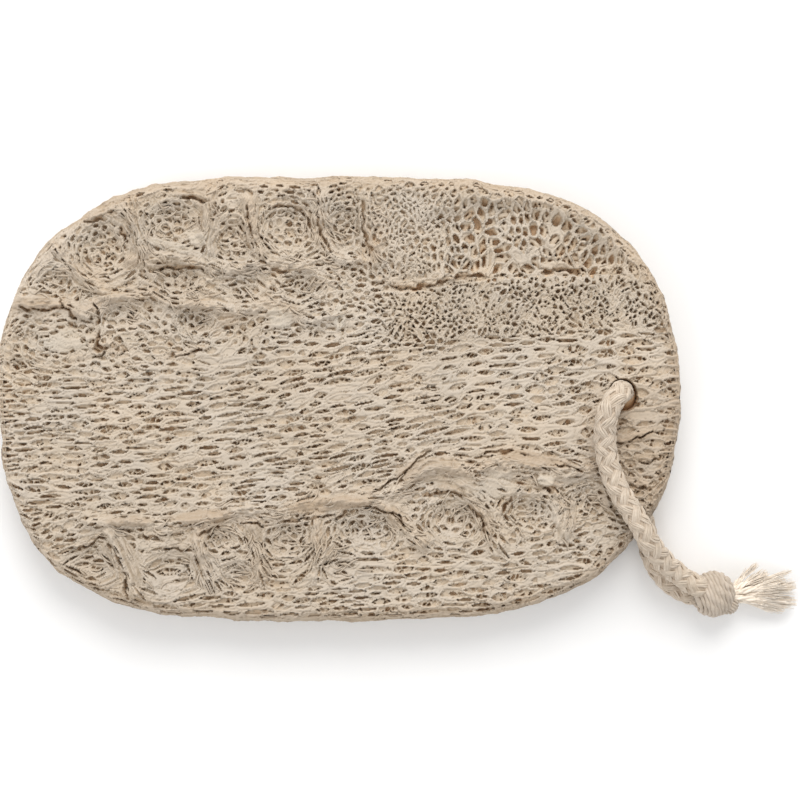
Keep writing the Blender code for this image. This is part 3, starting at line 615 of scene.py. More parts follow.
class TopForms:
    """Fields over the top face: its height, the way its fibres run and how open their net is."""

    def __init__(self, sheet):
        self.sheet = sheet
        self.x, self.y = sheet.x, sheet.y
        self.ragged = 0.7 * self.noise(3.1, 21) + 0.5 * self.noise(1.3, 22)
        self.curve_face()
        self.lay_fibres()
        self.open_net()
        self.press_chambers()
        self.raise_septa()
        self.sink_coarse_net()
        self.step_fine_sheet()
        self.lay_skins()
        self.tear_cracks()
        self.round_rim()
        self.run = 0.5 * np.arctan2(self.turn_y, self.turn_x)
        self.width = np.maximum(self.width, NARROWEST_CELL)
        self.gap_long = self.gap_long * self.length
        self.gap_wide = self.gap_wide * self.width

    def noise(self, size, seed):
        return noise(self.x, self.y, size, seed)

    def lean(self, share, angle):
        """Leans the fibres towards an angle. A share over 1 outweighs their own way."""
        self.turn_x = self.turn_x + share * np.cos(2 * angle)
        self.turn_y = self.turn_y + share * np.sin(2 * angle)

    def tangle(self, share, angle):
        """Puts an angle in the place of a share of the fibres' own way."""
        self.turn_x = self.turn_x * (1 - share) + share * np.cos(2 * angle)
        self.turn_y = self.turn_y * (1 - share) + share * np.sin(2 * angle)

    def change_cells(self, share, length, width, gap_long, gap_wide):
        """Takes a share of the cells' sizes away, and adds the given ones in its place."""
        self.length = self.length * (1 - share) + length
        self.width = self.width * (1 - share) + width
        self.gap_long = self.gap_long * (1 - share) + gap_long
        self.gap_wide = self.gap_wide * (1 - share) + gap_wide

    def curve_face(self):
        """The face's slow waves, and its swell towards the right end."""
        height = PAD_THICKNESS + RIGHT_END_SWELL * right_end(self.x)
        height = height + 0.35 * np.sin(self.x * 0.11 + 0.7) * np.cos(self.y * 0.13)
        self.height = height + 0.25 * self.noise(9.0, 23)

    def lay_fibres(self):
        """The fibres' own way along the pad, as the cosine and sine of twice its angle."""
        calm = np.maximum(0.0, 1.0 - (self.y / (0.5 * PAD_WIDTH)) ** 2)
        along = (self.x - FIBRE_SWAY_START) / FIBRE_SWAY_LENGTH
        run = np.arctan(FIBRE_SWAY * calm / FIBRE_SWAY_LENGTH / np.cosh(along) ** 2)
        line_y = self.y - calm * (FIBRE_SWAY * np.tanh(along))
        off_band = np.maximum(np.abs(line_y - LONG_BAND_MIDDLE) - LONG_BAND_HALF_WIDTH, 0.0)
        band = np.exp(-off_band ** 2 / LONG_BAND_FADE)
        self.long_fibres = np.maximum(band, smooth_step(*LOWER_LONG_SPAN, -self.y))
        run = run + (0.10 + 0.75 * (1.0 - self.long_fibres)) * self.noise(6.5, 24)
        run = run + 0.12 * self.noise(2.6, 25)
        self.turn_x, self.turn_y = np.cos(2 * run), np.sin(2 * run)

    def open_net(self):
        """The cells' length and width, their gaps' share of each, and the share of cells that are open."""
        self.patchy = self.noise(3.6, 31)
        self.length = (CELL_LENGTH + LONG_CELL_EXTRA * self.long_fibres) * (1.0 + 0.40 * self.patchy)
        self.width = CELL_WIDTH * (1.0 + 0.38 * self.noise(2.9, 32))
        self.strand = np.full(self.x.shape, STRAND_HALF)
        self.gap_long = GAP_LONG + GAP_LONG_EXTRA * self.long_fibres
        self.gap_wide = GAP_WIDE - GAP_WIDE_LESS * self.long_fibres
        self.wide_end = smooth_step(*WIDE_END_SPAN, self.x + 8.0 * self.noise(7.0, 44)) * self.long_fibres
        self.width = self.width * (1.0 + 0.35 * self.wide_end)
        self.gap_wide = self.gap_wide + 0.05 * self.wide_end
        self.openness = 0.92 + 0.25 * self.noise(5.0, 26)
        self.fine_open = 0.66 + 0.22 * self.noise(4.0, 33)

    def press_chambers(self):
        """Seed chambers: hollows with fibres wound round them and an open net in the middle."""
        self.ringed = np.zeros(self.x.shape)
        for cx, cy, rx, ry, deep in SEED_CHAMBERS:
            reach = np.hypot((self.x - cx) / rx, (self.y - cy) / ry)
            reach = reach * (1.0 + 0.13 * self.noise(2.6, 27) + 0.06 * self.noise(1.1, 28))
            inside = np.clip(1.0 - reach * reach, 0.0, 1.0)
            self.height = self.height - CHAMBER_DEPTH_SHARE * deep * inside ** 1.5
            around = np.arctan2((self.x - cx) / rx ** 2, -(self.y - cy) / ry ** 2)
            near = smooth_step(0.28, 0.60, reach) * (1.0 - smooth_step(1.05, 1.4, reach))
            wound = 0.9 + 2.6 * (deep > WELL_RINGED_DEPTH)
            self.lean(wound * near, around)
            centre = 1.0 - smooth_step(0.40, 0.75, reach)
            self.openness = self.openness + 0.5 * centre - 0.22 * near
            self.ringed = np.maximum(self.ringed, near)
            self.length = self.length * (1 - 0.15 * centre)
            self.width = self.width * (1 - 0.22 * near + 0.10 * centre)
            self.gap_wide = self.gap_wide * (1 - 0.1 * near + 0.20 * centre)
            self.fine_open = self.fine_open + 0.25 * centre

    def raise_septa(self):
        """Torn walls: worn ridges whose fibres run along them, and rough skin over both."""
        wall = np.zeros(self.x.shape)
        self.cover = np.zeros(self.x.shape)
        for rise, half_thickness, line in SEPTA:
            d, angle = line_distance(line, self.x, self.y)
            d = np.abs(np.abs(d) + 0.8 * self.ragged)
            worn = 0.62 + 0.38 * self.noise(4.0, 29)
            wall = np.maximum(wall, rise * worn * np.exp(-(d / (0.85 * half_thickness)) ** 2))
            near = np.exp(-(d / (1.35 * half_thickness)) ** 2)
            self.cover = np.maximum(self.cover, near)
            self.lean(4.0 * near, angle)
        self.height = self.height + wall
        self.openness = self.openness - 0.30 * self.cover
        self.width = self.width * (1 - 0.35 * self.cover)
        self.gap_wide = self.gap_wide * (1 - 0.35 * self.cover)
        self.height = self.height + self.cover * (0.35 * self.noise(0.8, 34) + 0.25 * self.noise(1.7, 45))

    def sink_coarse_net(self):
        """The coarse net at the upper right, with wide tangled cells that open to the layers beneath."""
        depth = self.sheet.depth
        coarse = coarse_share(self.x + 1.2 * self.ragged, self.y + 1.2 * self.ragged)
        coarse = coarse * smooth_step(2.0, 6.5, depth)
        self.height = self.height - COARSE_DROP * coarse
        upper_right = smooth_step(-1.0, 7.0, self.x) * smooth_step(25.0, 29.0, self.y) * (depth > 2.0)
        tangled = np.maximum(coarse, upper_right)
        grown = 0.62 + 0.38 * smooth_step(16.0, 34.0, self.x) + 0.35 * self.patchy
        self.change_cells(
            tangled, COARSE_CELL_LENGTH * tangled * grown, COARSE_CELL_WIDTH * tangled * grown,
            COARSE_GAP * tangled, COARSE_GAP * tangled)
        self.strand = self.strand + tangled * (0.07 + 0.10 * self.noise(2.0, 46))
        self.tangle(tangled, 1.5 * np.tanh(3.0 * self.noise(3.4, 47)))
        self.openness = np.maximum(self.openness, 0.95 * tangled)
        self.fine_open = self.fine_open + 0.30 * tangled
        self.coarse = coarse

    def step_fine_sheet(self):
        """The step down above the fine sheet's edge, and the sheet's own small cells below it."""
        above = above_sheet_edge(self.x, self.y) + 0.35 * self.ragged
        left_end, right_end_x = SHEET_EDGE[0][0], SHEET_EDGE[-1][0]
        ends = smooth_step(0.0, 6.0, self.x - left_end) * smooth_step(0.0, 6.0, right_end_x - self.x)
        step = np.clip(1.0 - above / SHEET_STEP_WIDTH, 0.0, 1.0) * (above > 0.0)
        self.height = self.height - SHEET_STEP * ends * step
        fine = smooth_step(2.0, 12.0, self.x) * smooth_step(8.0, 14.0, self.y - 0.06 * self.x)
        fine = fine * (above <= 0.0)
        self.change_cells(
            fine, FINE_CELL_LENGTH * fine * (1.0 + 0.35 * self.patchy),
            FINE_CELL_WIDTH * fine * (1.0 + 0.40 * self.noise(1.6, 48)),
            FINE_GAP_LONG * fine, FINE_GAP_WIDE * fine)
        self.openness = self.openness * (1 - 0.7 * fine) + 0.57 * fine
        self.strand = self.strand - 0.09 * fine
        self.tangle(smooth_step(0.6, 1.0, fine), 1.3 * np.tanh(3.0 * self.noise(2.4, 49)))
        self.fine = fine

    def lay_skins(self):
        """Closed skins, and where the fibre is tanned or bleached."""
        self.tan = 0.55 * self.cover * smooth_step(-0.6, 0.8, self.noise(5.0, 35))
        self.white = np.zeros(self.x.shape)
        self.skin = np.zeros(self.x.shape)
        for cx, cy, rx, ry, turn, rise, tone in SKINS:
            u = (self.x - cx) * math.cos(turn) + (self.y - cy) * math.sin(turn)
            v = (self.y - cy) * math.cos(turn) - (self.x - cx) * math.sin(turn)
            uneven = 1.0 + 0.20 * self.noise(1.6, 36) + 0.12 * self.noise(0.7, 37)
            inside = 1.0 - smooth_step(0.70, 1.0, np.hypot(u / rx, v / ry) * uneven)
            self.height = self.height + 0.6 * rise * inside * (0.8 + 0.2 * self.noise(1.8, 38))
            along = turn if rx > ry else turn + 0.5 * math.pi
            self.lean(4.0 * inside, along)
            self.skin = np.maximum(self.skin, inside)
            self.white = self.white + inside * max(tone, 0.0)
            self.tan = self.tan + inside * max(-tone, 0.0)
        self.openness = self.openness - 0.85 * self.skin

    def tear_cracks(self):
        """Cracks with one lip that stands up, worn away here and there, and painted shade in their pits."""
        self.torn = np.zeros(self.x.shape)
        for half_width, deep, line in CRACKS:
            wander_x, wander_y = 0.5 * self.noise(1.5, 39), 0.5 * self.noise(1.5, 40)
            d, angle = line_distance(line, self.x + wander_x, self.y + wander_y)
            d = d + 0.35 * self.noise(1.1, 41)
            worn = smooth_step(-0.55, -0.05, self.noise(2.6, 42))
            pit = worn * (1.0 - smooth_step(0.4 * half_width, 0.9 * half_width, np.abs(d)))
            lip = np.exp(-((d - 1.8 * half_width) / 0.7) ** 2)
            raised = lip * worn * (0.30 + 0.25 * self.noise(0.8, 43))
            self.height = self.height - CRACK_DEPTH_SHARE * deep * pit + raised
            # Painted shade: the pits are browned darker; the lips take a real tan.
            self.tan = self.tan + 0.35 * lip + 0.6 * pit
            self.torn = np.maximum(self.torn, pit)
            self.lean(2.5 * np.exp(-(d / 1.5) ** 2), angle)
            self.openness = self.openness - 0.35 * lip

    def round_rim(self):
        """The rim: fibres that follow it, gaps that close towards it, and a face that falls to the side."""
        depth, nearest = self.sheet.depth, self.sheet.nearest
        facing_y = np.abs(OUTLINE_NORMAL[nearest, 1])
        self.rim = 1.0 - smooth_step(SIDE_INSET, RIM_WIDTH, depth)
        rim_run = np.arctan2(OUTLINE_NORMAL[nearest, 0], -OUTLINE_NORMAL[nearest, 1])
        self.lean(3.0 * self.rim * facing_y, rim_run)
        closed_rim = smooth_step(5.0, 25.0, self.y) * (1.0 - smooth_step(2.0, 20.0, self.x))
        self.openness = self.openness + self.rim * (0.10 - 0.90 * closed_rim)
        self.openness = self.openness * smooth_step(SIDE_INSET + 0.1, SIDE_INSET + 0.7, depth)
        self.width = self.width * (1 - 0.25 * self.rim)
        rim_places = OUTLINE - OUTLINE_NORMAL * RIM_TOP_INSET
        rim_top = self.sheet.sample(self.height, rim_places[:, 0], rim_places[:, 1])
        window = np.hanning(2 * RIM_SMOOTHING + 1) / np.hanning(2 * RIM_SMOOTHING + 1).sum()
        lapped = np.concatenate([rim_top[-RIM_SMOOTHING:], rim_top, rim_top[:RIM_SMOOTHING]])
        self.rim_top = np.convolve(lapped, window, "valid")
        at_rim = 1.0 - smooth_step(SIDE_INSET, 2.6, depth)
        self.height = self.height + at_rim * (self.rim_top[nearest] - self.height)
        fall = np.clip(1.0 - depth / RIM_FALL_WIDTH, 0.0, 1.0)
        self.height = self.height - RIM_FALL * fall ** 2.4


# A net of fibres: the borders between stretched cells, with a gap in each open cell

class Net:
    """Stretched cells over a sheet, and how far each place is from the fibre between two of them."""

    def __init__(self, sheet, run, length, width, seed, relax_steps=2):
        self.sheet = sheet
        self.random = np.random.default_rng(seed)
        sites = self.scattered(run, length, width)
        for _ in range(relax_steps):
            self.fill(sites, run, length, width)
            sites = self.cell_middles(len(sites))
        self.fill(sites, run, length, width)
        self.chance = self.random.random(len(sites))
        self.distance, self.across_x, self.across_y = self.fibre_distance()

    def scattered(self, run, length, width):
        """Places far enough apart for each to be the middle of its own cell."""
        sheet = self.sheet
        allowed = sheet.depth > 0.2
        rows, columns = np.nonzero(allowed)
        order = self.random.permutation(len(rows))
        free = allowed.copy()
        places = []
        for k in order:
            r, c = rows[k], columns[k]
            if not free[r, c]:
                continue
            x, y = sheet.xs[c], sheet.ys[r]
            places.append((x, y))
            loose = 0.62 + 0.36 * self.random.random()
            a, b, t = loose * length[r, c], loose * width[r, c], run[r, c]
            box = sheet.window(x, y, a, a)
            dx, dy = sheet.x[box] - x, sheet.y[box] - y
            u = (dx * math.cos(t) + dy * math.sin(t)) / a
            v = (dy * math.cos(t) - dx * math.sin(t)) / b
            free[box] &= u * u + v * v > 1.0
        return np.array(places)

    def cell_middles(self, count):
        """The middle of each cell that has any place in it."""
        own = self.first[self.inside]
        places = np.bincount(own, minlength=count)
        sum_x = np.bincount(own, self.sheet.x[self.inside], count)
        sum_y = np.bincount(own, self.sheet.y[self.inside], count)
        has = places > 0
        return np.column_stack([sum_x[has] / places[has], sum_y[has] / places[has]])

    def fill(self, sites, run, length, width):
        """The nearest and second nearest site of every place, each by its own stretched measure."""
        sheet = self.sheet
        self.first_d = sheet.even(PAST_REACH)
        self.second_d = sheet.even(PAST_REACH)
        self.first = np.zeros(sheet.x.shape, int)
        self.second = np.zeros(sheet.x.shape, int)
        self.t = sheet.sample(run, sites[:, 0], sites[:, 1])
        self.a = sheet.sample(length, sites[:, 0], sites[:, 1])
        self.b = sheet.sample(width, sites[:, 0], sites[:, 1])
        for k, (x, y) in enumerate(sites):
            a, b = self.a[k], self.b[k]
            ct, st = math.cos(self.t[k]), math.sin(self.t[k])
            half_x = CELL_REACH * math.hypot(a * ct, b * st)
            half_y = CELL_REACH * math.hypot(a * st, b * ct)
            box = sheet.window(x, y, half_x, half_y)
            dx, dy = sheet.x[box] - x, sheet.y[box] - y
            d = np.sqrt(((dx * ct + dy * st) / a) ** 2 + ((dy * ct - dx * st) / b) ** 2)
            first_d, second_d = self.first_d[box], self.second_d[box]
            first, second = self.first[box], self.second[box]
            nearest = d < first_d
            next_nearest = ~nearest & (d < second_d)
            second_d[nearest] = first_d[nearest]
            second[nearest] = first[nearest]
            first_d[nearest] = d[nearest]
            first[nearest] = k
            second_d[next_nearest] = d[next_nearest]
            second[next_nearest] = k
        self.inside = (sheet.depth > -0.5) & (self.first_d < PAST_REACH)
        self.sites = sites

    def slope(self, which, d):
        """How the stretched distance to a site grows along x and y."""
        dx = self.sheet.x - self.sites[which, 0]
        dy = self.sheet.y - self.sites[which, 1]
        ct, st = np.cos(self.t[which]), np.sin(self.t[which])
        u = (dx * ct + dy * st) / self.a[which] ** 2
        v = (dy * ct - dx * st) / self.b[which] ** 2
        return (u * ct - v * st) / np.maximum(d, 1e-6), (u * st + v * ct) / np.maximum(d, 1e-6)

    def fibre_distance(self):
        """Each place's distance to the border of its cell, and the way across that border."""
        first_x, first_y = self.slope(self.first, self.first_d)
        second_x, second_y = self.slope(self.second, self.second_d)
        grow_x, grow_y = second_x - first_x, second_y - first_y
        size = np.maximum(np.hypot(grow_x, grow_y), 1e-6)
        return (self.second_d - self.first_d) / size, grow_x / size, grow_y / size


def streaked(net, run, blend, seed, reach=11, grain_width=1):
    """Fine lines that follow the fibres, from -1 to 1: grain drawn out along their way."""
    sheet = net.sheet
    grain = np.random.default_rng(seed).random(sheet.x.shape)
    for _ in range(grain_width - 1):
        grain = grain + np.roll(grain, 1, axis=0)
        grain = grain + np.roll(grain, 1, axis=1)
        grain = grain / 4.0
    way_x, way_y = streak_way(net, run, blend)
    total = grain.copy()
    for side in (1.0, -1.0):
        total = drawn_out(total, grain, way_x, way_y, side, reach)
    total = total / (2 * reach + 1)
    total = (total - total.mean()) / total.std()
    return np.clip(total / 2.5, -1.0, 1.0)


def streak_way(net, run, blend):
    """The way of the lines: along the nearest border, blended with the fibres' own run."""
    flip = np.sign(-net.across_y * np.cos(run) + net.across_x * np.sin(run))
    flip[flip == 0] = 1.0
    way_x = -net.across_y * flip * (1 - blend) + np.cos(run) * blend
    way_y = net.across_x * flip * (1 - blend) + np.sin(run) * blend
    size = np.maximum(np.hypot(way_x, way_y), 1e-6)
    return way_x / size, way_y / size


def drawn_out(total, grain, way_x, way_y, side, reach):
    """Adds the grain met on a walk of some steps from each place, ahead or behind."""
    rows, columns = grain.shape
    c, r = np.meshgrid(np.arange(columns, dtype=float), np.arange(rows, dtype=float))
    last_x, last_y = side * way_x, side * way_y
    for _ in range(reach):
        c = np.clip(c + last_x, 0, columns - 1)
        r = np.clip(r + last_y, 0, rows - 1)
        ci, ri = np.rint(c).astype(int), np.rint(r).astype(int)
        total += grain[ri, ci]
        next_x, next_y = way_x[ri, ci], way_y[ri, ci]
        same = np.sign(next_x * last_x + next_y * last_y)
        same[same == 0] = 1.0
        last_x, last_y = next_x * same, next_y * same
    return total


def strand_layer(net, level, strand, openness, drop, crown, seed):
    """Heights of one layer of fibres under a level, and where its gaps are."""
    x, y = net.sheet.x, net.sheet.y
    open_cell = net.chance[net.first] < openness
    tight = 0.78 + 0.5 * lattice_value(net.first * 1.0, net.first * 0.37, seed)
    half = strand * np.where(open_cell, tight, 1.0)
    half = half * (1.0 + 0.15 * noise(x, y, 1.7, seed + 1))
    share = net.distance / half
    top = level - drop + 0.28 * noise(x, y, 2.3, seed + 2)
    rounded = crown * (np.sqrt(np.clip(1.0 - share ** 2, 0.0, 1.0)) - 1.0)
    hole = (share > 1.0) & open_cell
    filled = top + np.where(share > 1.0, -crown, rounded)
    shallow = top - 0.62 * crown - 0.12 * (1 + noise(x, y, 1.1, seed + 3))
    return np.where(open_cell, filled, np.maximum(filled, shallow)), hole


def softened(values, times):
    for _ in range(times):
        values = (np.roll(values, 1, 0) + 2 * values + np.roll(values, -1, 0)) / 4
        values = (np.roll(values, 1, 1) + 2 * values + np.roll(values, -1, 1)) / 4
    return values


# The top face: fibres that part round lens-shaped gaps, and the layers beneath

class LensLayer:
    """The top layer: fibres that part round a lens-shaped gap in each cell and close again."""

    def __init__(self, net, forms, seed):
        dice = np.random.default_rng(seed)
        count = len(net.sites)
        own = net.first
        site_x, site_y = net.sites[:, 0], net.sites[:, 1]
        sample = net.sheet.sample
        gap_long = sample(forms.gap_long, site_x, site_y) * (0.64 + 0.72 * dice.random(count))
        gap_wide = sample(forms.gap_wide, site_x, site_y) * (0.6 + 0.8 * dice.random(count))
        fine = sample(forms.fine, site_x, site_y) > 0.5
        power = 1.0 - 0.5 * fine
        open_through = sample(forms.coarse, site_x, site_y) + 0.35 * dice.random(count) > 0.62
        bow = 0.10 * (2.0 * dice.random(count) - 1.0)
        self.bare = (fine | open_through | (gap_wide < WEB_GAP_WIDTH))[own]
        self.open_cell = net.chance[own] < forms.openness
        self.edge = self.gap_edge(net, forms, gap_long[own], gap_wide[own], power[own], bow[own])
        self.edge = self.edge + 0.06 * noise(net.sheet.x, net.sheet.y, 0.8, seed + 1)
        self.hole = self.open_cell & (self.edge < 0.0)
        self.surface = forms.height + self.rounding(net) * (1.0 - 0.7 * forms.skin)

    def gap_edge(self, net, forms, gap_long, gap_wide, power, bow):
        """Distance to the edge of the cell's gap, negative inside it."""
        own = net.first
        dx, dy = net.sheet.x - net.sites[own, 0], net.sheet.y - net.sites[own, 1]
        ct, st = np.cos(net.t[own]), np.sin(net.t[own])
        u = dx * ct + dy * st
        v = dy * ct - dx * st
        v = v + bow * u * u / np.maximum(gap_long, 0.3)
        end = np.clip(1.0 - (u / gap_long) ** 2, 0.0, 1.0) ** power
        lens = (np.abs(v) / gap_wide - end) * gap_wide
        beyond = np.maximum(np.abs(u) - gap_long, 0.0)
        return np.maximum(lens + 0.55 * beyond, forms.strand - net.distance)

    def rounding(self, net):
        """How far a fibre's round top, or a closed gap's skin, lies under the face."""
        room = np.maximum(self.edge, 0.0) + net.distance
        across = np.clip(self.edge / np.maximum(room, 0.05), 0.0, 1.0)
        fibre = np.sqrt(np.clip(1.0 - (2.0 * across - 1.0) ** 2, 0.0, 1.0)) - 1.0
        narrow = 1.0 - smooth_step(0.5, 1.1, room)
        rounded = TOP_CROWN * fibre * (0.35 + 0.65 * narrow)
        closed = -TOP_CROWN * (0.45 + 0.25 * smooth_step(-0.3, 0.0, self.edge))
        return np.where(self.edge > 0.0, rounded, closed)

    def edge_shift(self, step):
        """Small sideways moves that put the grid's nearest places on the gaps' edges."""
        grow_y, grow_x = np.gradient(self.edge, step)
        steep = np.maximum(np.hypot(grow_x, grow_y), 0.3)
        snap = self.open_cell & (np.abs(self.edge) < 0.6 * step)
        shift = np.where(snap, np.clip(-self.edge / steep, -0.5 * step, 0.5 * step), 0.0)
        return shift * grow_x / steep, shift * grow_y / steep


def web_layer(sheet, forms, lines):
    """The finer web just beneath the wide gaps."""
    x, y = sheet.x, sheet.y
    run = forms.run + 1.0 * np.tanh(3.0 * noise(x, y, 3.0, 54)) + 1.2 * forms.wide_end
    size = 1.0 + 0.25 * noise(x, y, 2.2, 55) + 0.8 * forms.coarse
    net = Net(sheet, run, WEB_CELL_LENGTH * size, WEB_CELL_WIDTH * size, 16, 1)
    strand = 0.17 + 0.05 * forms.coarse
    web, hole = strand_layer(net, forms.height, strand, forms.fine_open, WEB_DROP, WEB_CROWN, 56)
    return web + 0.05 * lines, hole


def deep_layers(sheet, forms):
    """Two deeper layers of strands, and the floor that shows where both are open."""
    x, y = sheet.x, sheet.y
    second_run = forms.run + 0.6 * noise(x, y, 4.0, 51) + 1.1 * forms.fine
    second = Net(sheet, second_run, 1.0 * forms.length, 1.1 * forms.width, 12, 1)
    second_drop = SECOND_DROP - 0.34 * forms.fine
    near, near_hole = strand_layer(
        second, forms.height, 1.35 * forms.strand, ALL_OPEN, second_drop, SECOND_CROWN, 61)
    third_run = forms.run - 0.6 * noise(x, y, 5.0, 52)
    third = Net(sheet, third_run, 1.1 * forms.length, 1.3 * forms.width, 13, 1)
    third_drop = THIRD_DROP + 0.25 * forms.coarse - 0.35 * forms.fine
    deep, deep_hole = strand_layer(
        third, forms.height, 1.8 * forms.strand, ALL_OPEN, third_drop, THIRD_CROWN, 71)
    floor = forms.height - FLOOR_DROP - 0.5 * forms.coarse + 0.4 * noise(x, y, 1.6, 53)
    return np.where(near_hole, np.where(deep_hole, floor, deep), near)


def top_marks(sheet, forms, top, height, surface, lines, bundles):
    """Colour marks: how sunk a place is; a tone of the fibres' grain lines with painted highlight on crests
    and painted shade in hollows; a tan mark that also holds painted shade in the cracks; and where it is
    bleached.
    """
    x, y = sheet.x, sheet.y
    sunk = np.clip((forms.height - height) / DEEPEST_MARK, 0.0, 1.0)
    crest = np.where(top.hole, forms.height - 0.45, surface)
    # Painted highlight and shade: places above their softened neighbours are lighter, places below them
    # darker.
    painted_crest_shade = np.clip((crest - softened(crest, 4)) / 0.18, -1.0, 1.0)
    left_rim = forms.rim * smooth_step(*LEFT_RIM_SPAN, -x)
    off_middle = np.abs(y - ROPE_SIDE_MIDDLE)
    rope_side = smooth_step(*ROPE_SIDE_SPAN, x) * (1.0 - smooth_step(*ROPE_SIDE_HALF_WIDTHS, off_middle))
    tan = forms.tan + 0.75 * forms.rim - 0.5 * left_rim + 0.55 * rope_side
    drawn = 0.10 + 0.10 * np.clip(forms.skin + forms.ringed + forms.cover, 0.0, 1.0) + 0.14 * forms.rim
    tone = 0.5 + 0.28 * painted_crest_shade + drawn * lines + 0.14 * bundles - 0.12 * forms.fine
    # Painted shade darkens the whole rim, for the upper rim that the key light falls on, and painted light
    # brightens the left rim, which is turned from the light.
    tone = tone + 0.10 * forms.coarse - 0.15 * forms.rim + 0.45 * left_rim - 0.07 * forms.ringed
    tone = tone - 0.30 * forms.skin * (1.0 - np.clip(forms.white, 0.0, 1.0)) - 0.08 * rope_side
    return np.stack([sunk, tone, np.clip(tan, 0.0, 1.0), np.clip(forms.white, 0.0, 1.0)], axis=-1)


def top_relief(sheet):
    """Heights, small sideways shifts and colour marks of the whole top face, and its forms."""
    forms = TopForms(sheet)
    net = Net(sheet, forms.run, forms.length, forms.width, 11)
    top = LensLayer(net, forms, 31)
    lines = streaked(net, forms.run, 0.35 + 0.4 * forms.cover, 41, 8)
    bundles = streaked(net, forms.run, 0.6 + 0.3 * forms.cover, 42, 22, 3)
    slits = streaked(net, forms.run, 0.55 + 0.3 * forms.cover, 43, 9, 2)
    narrow = 0.16 * forms.ringed + 0.14 * forms.rim
    slit = smooth_step(0.38 - narrow, 0.60, -slits) * (1.0 - 0.3 * forms.fine)
    rough = 1.0 + 0.6 * forms.cover + 1.8 * forms.rim + 1.0 * forms.skin
    rough = rough + 0.8 * forms.ringed + 0.5 * forms.fine
    surface = top.surface + rough * (0.07 * lines + 0.12 * bundles) - SLIT_DEPTH * slit

    web, web_hole = web_layer(sheet, forms, lines)
    torn = forms.torn > 0.5
    below = np.where(web_hole | torn | top.bare, deep_layers(sheet, forms), web)
    height = np.where(top.hole | torn, below, surface)
    lowest, _ = rope_rooms(sheet, 0.2)
    height = np.minimum(height, lowest)
    marks = top_marks(sheet, forms, top, height, surface, lines, bundles)
    return height, top.edge_shift(sheet.step), marks, forms


# Room for the rope

def curve_through(points, step):
    """Evenly spaced points on a smooth curve through the given ones."""
    places = np.array(points, float)
    places = np.vstack([2 * places[0] - places[1], places, 2 * places[-1] - places[-2]])
    dense = []
    for a, b, c, d in zip(places[:-3], places[1:-2], places[2:-1], places[3:]):
        for t in np.arange(16) / 16.0:
            dense.append(0.5 * (2 * b + (c - a) * t + (2 * a - 5 * b + 4 * c - d) * t ** 2
                                + (3 * b - a - 3 * c + d) * t ** 3))
    dense = np.array(dense + [places[-2]])
    along = np.concatenate([[0.0], np.cumsum(np.linalg.norm(np.diff(dense, axis=0), axis=1))])
    at = np.linspace(0.0, along[-1], max(2, int(round(along[-1] / step))) + 1)
    return np.column_stack([np.interp(at, along, dense[:, k]) for k in range(3)])


def rope_rooms(sheet, clearance):
    """For each place, the rope's lowest skin over it above the pad and its highest skin below the pad."""
    lowest = sheet.even(99.0)
    highest = sheet.even(-99.0)
    radius = ROPE_DIAMETER / 2.0 + clearance
    for px, py, pz in curve_through(ROPE_ROUTE, 0.4):
        box = sheet.window(px, py, radius, radius)
        d2 = (sheet.x[box] - px) ** 2 + (sheet.y[box] - py) ** 2
        near = d2 < radius * radius
        skin = np.sqrt(np.maximum(radius * radius - d2, 0.0))
        if pz > LEG_ABOVE_FROM:
            part = lowest[box]
            part[near] = np.minimum(part[near], (pz - skin)[near])
        if pz < LEG_BELOW_TO:
            part = highest[box]
            part[near] = np.maximum(part[near], (pz + skin)[near])
    return lowest, highest


# The pad's pieces: its two faces and its side

def face_pieces(sheet, relief, names, material, inset, upward):
    """The grid inside the inset line as pieces side by side, from its heights, shifts and marks."""
    height, (shift_x, shift_y), marks = relief
    rows, columns = height.shape
    points = np.stack([sheet.x + shift_x, sheet.y + shift_y, height], axis=-1).reshape(-1, 3)
    slope_y, slope_x = np.gradient(height, sheet.step)
    normal = np.stack([-slope_x, -slope_y, np.ones_like(height)], axis=-1)
    normal = normal / np.linalg.norm(normal, axis=-1, keepdims=True)
    keep = sheet.depth > inset
    quads = keep[:-1, :-1] & keep[:-1, 1:] & keep[1:, :-1] & keep[1:, 1:]
    number = np.arange(rows * columns).reshape(rows, columns)
    qr, qc = np.nonzero(quads)
    corner = np.column_stack([number[qr, qc], number[qr, qc + 1], number[qr + 1, qc + 1], number[qr + 1, qc]])
    if not upward:
        normal = -normal
        corner = corner[:, ::-1]
    bounds = np.quantile(qc, np.linspace(0, 1, len(names) + 1)).astype(int)
    bounds[-1] += 1
    made = []
    for k, name in enumerate(names):
        chosen = corner[(qc >= bounds[k]) & (qc < bounds[k + 1])]
        used, faces = np.unique(chosen, return_inverse=True)
        made.append(mesh_piece(
            name, points[used], faces.reshape(chosen.shape), material,
            normal.reshape(-1, 3)[used], marks.reshape(-1, 4)[used]))
    return made


def side_profile(band, heights_at_rim):
    """Each row's share of the way down the side, and every place's inset and height before the net."""
    top, under = heights_at_rim
    h = np.interp(band.xs, np.linspace(0, band.lap, len(top)), top)
    u = np.interp(band.xs, np.linspace(0, band.lap, len(under)), under)
    insets = [inset for inset, _ in SIDE_FROM_TOP] + [0.0] + [inset for inset, _ in SIDE_FROM_UNDER]
    levels = [h + rise for _, rise in SIDE_FROM_TOP] + [0.5 * (h + u) + SIDE_MIDDLE_RISE]
    levels = np.array(levels + [u + rise for _, rise in SIDE_FROM_UNDER])
    share = np.linspace(0.0, 1.0, len(band.ys))
    mean_steps = np.hypot(np.diff(insets), np.diff(levels.mean(axis=1)))
    along = np.concatenate([[0.0], np.cumsum(mean_steps)]) / mean_steps.sum()
    inset = np.interp(share, along, insets)[:, None] + band.even(0.0)
    z = np.array([np.interp(share, along, levels[:, k]) for k in range(len(h))]).T
    return share, inset, z


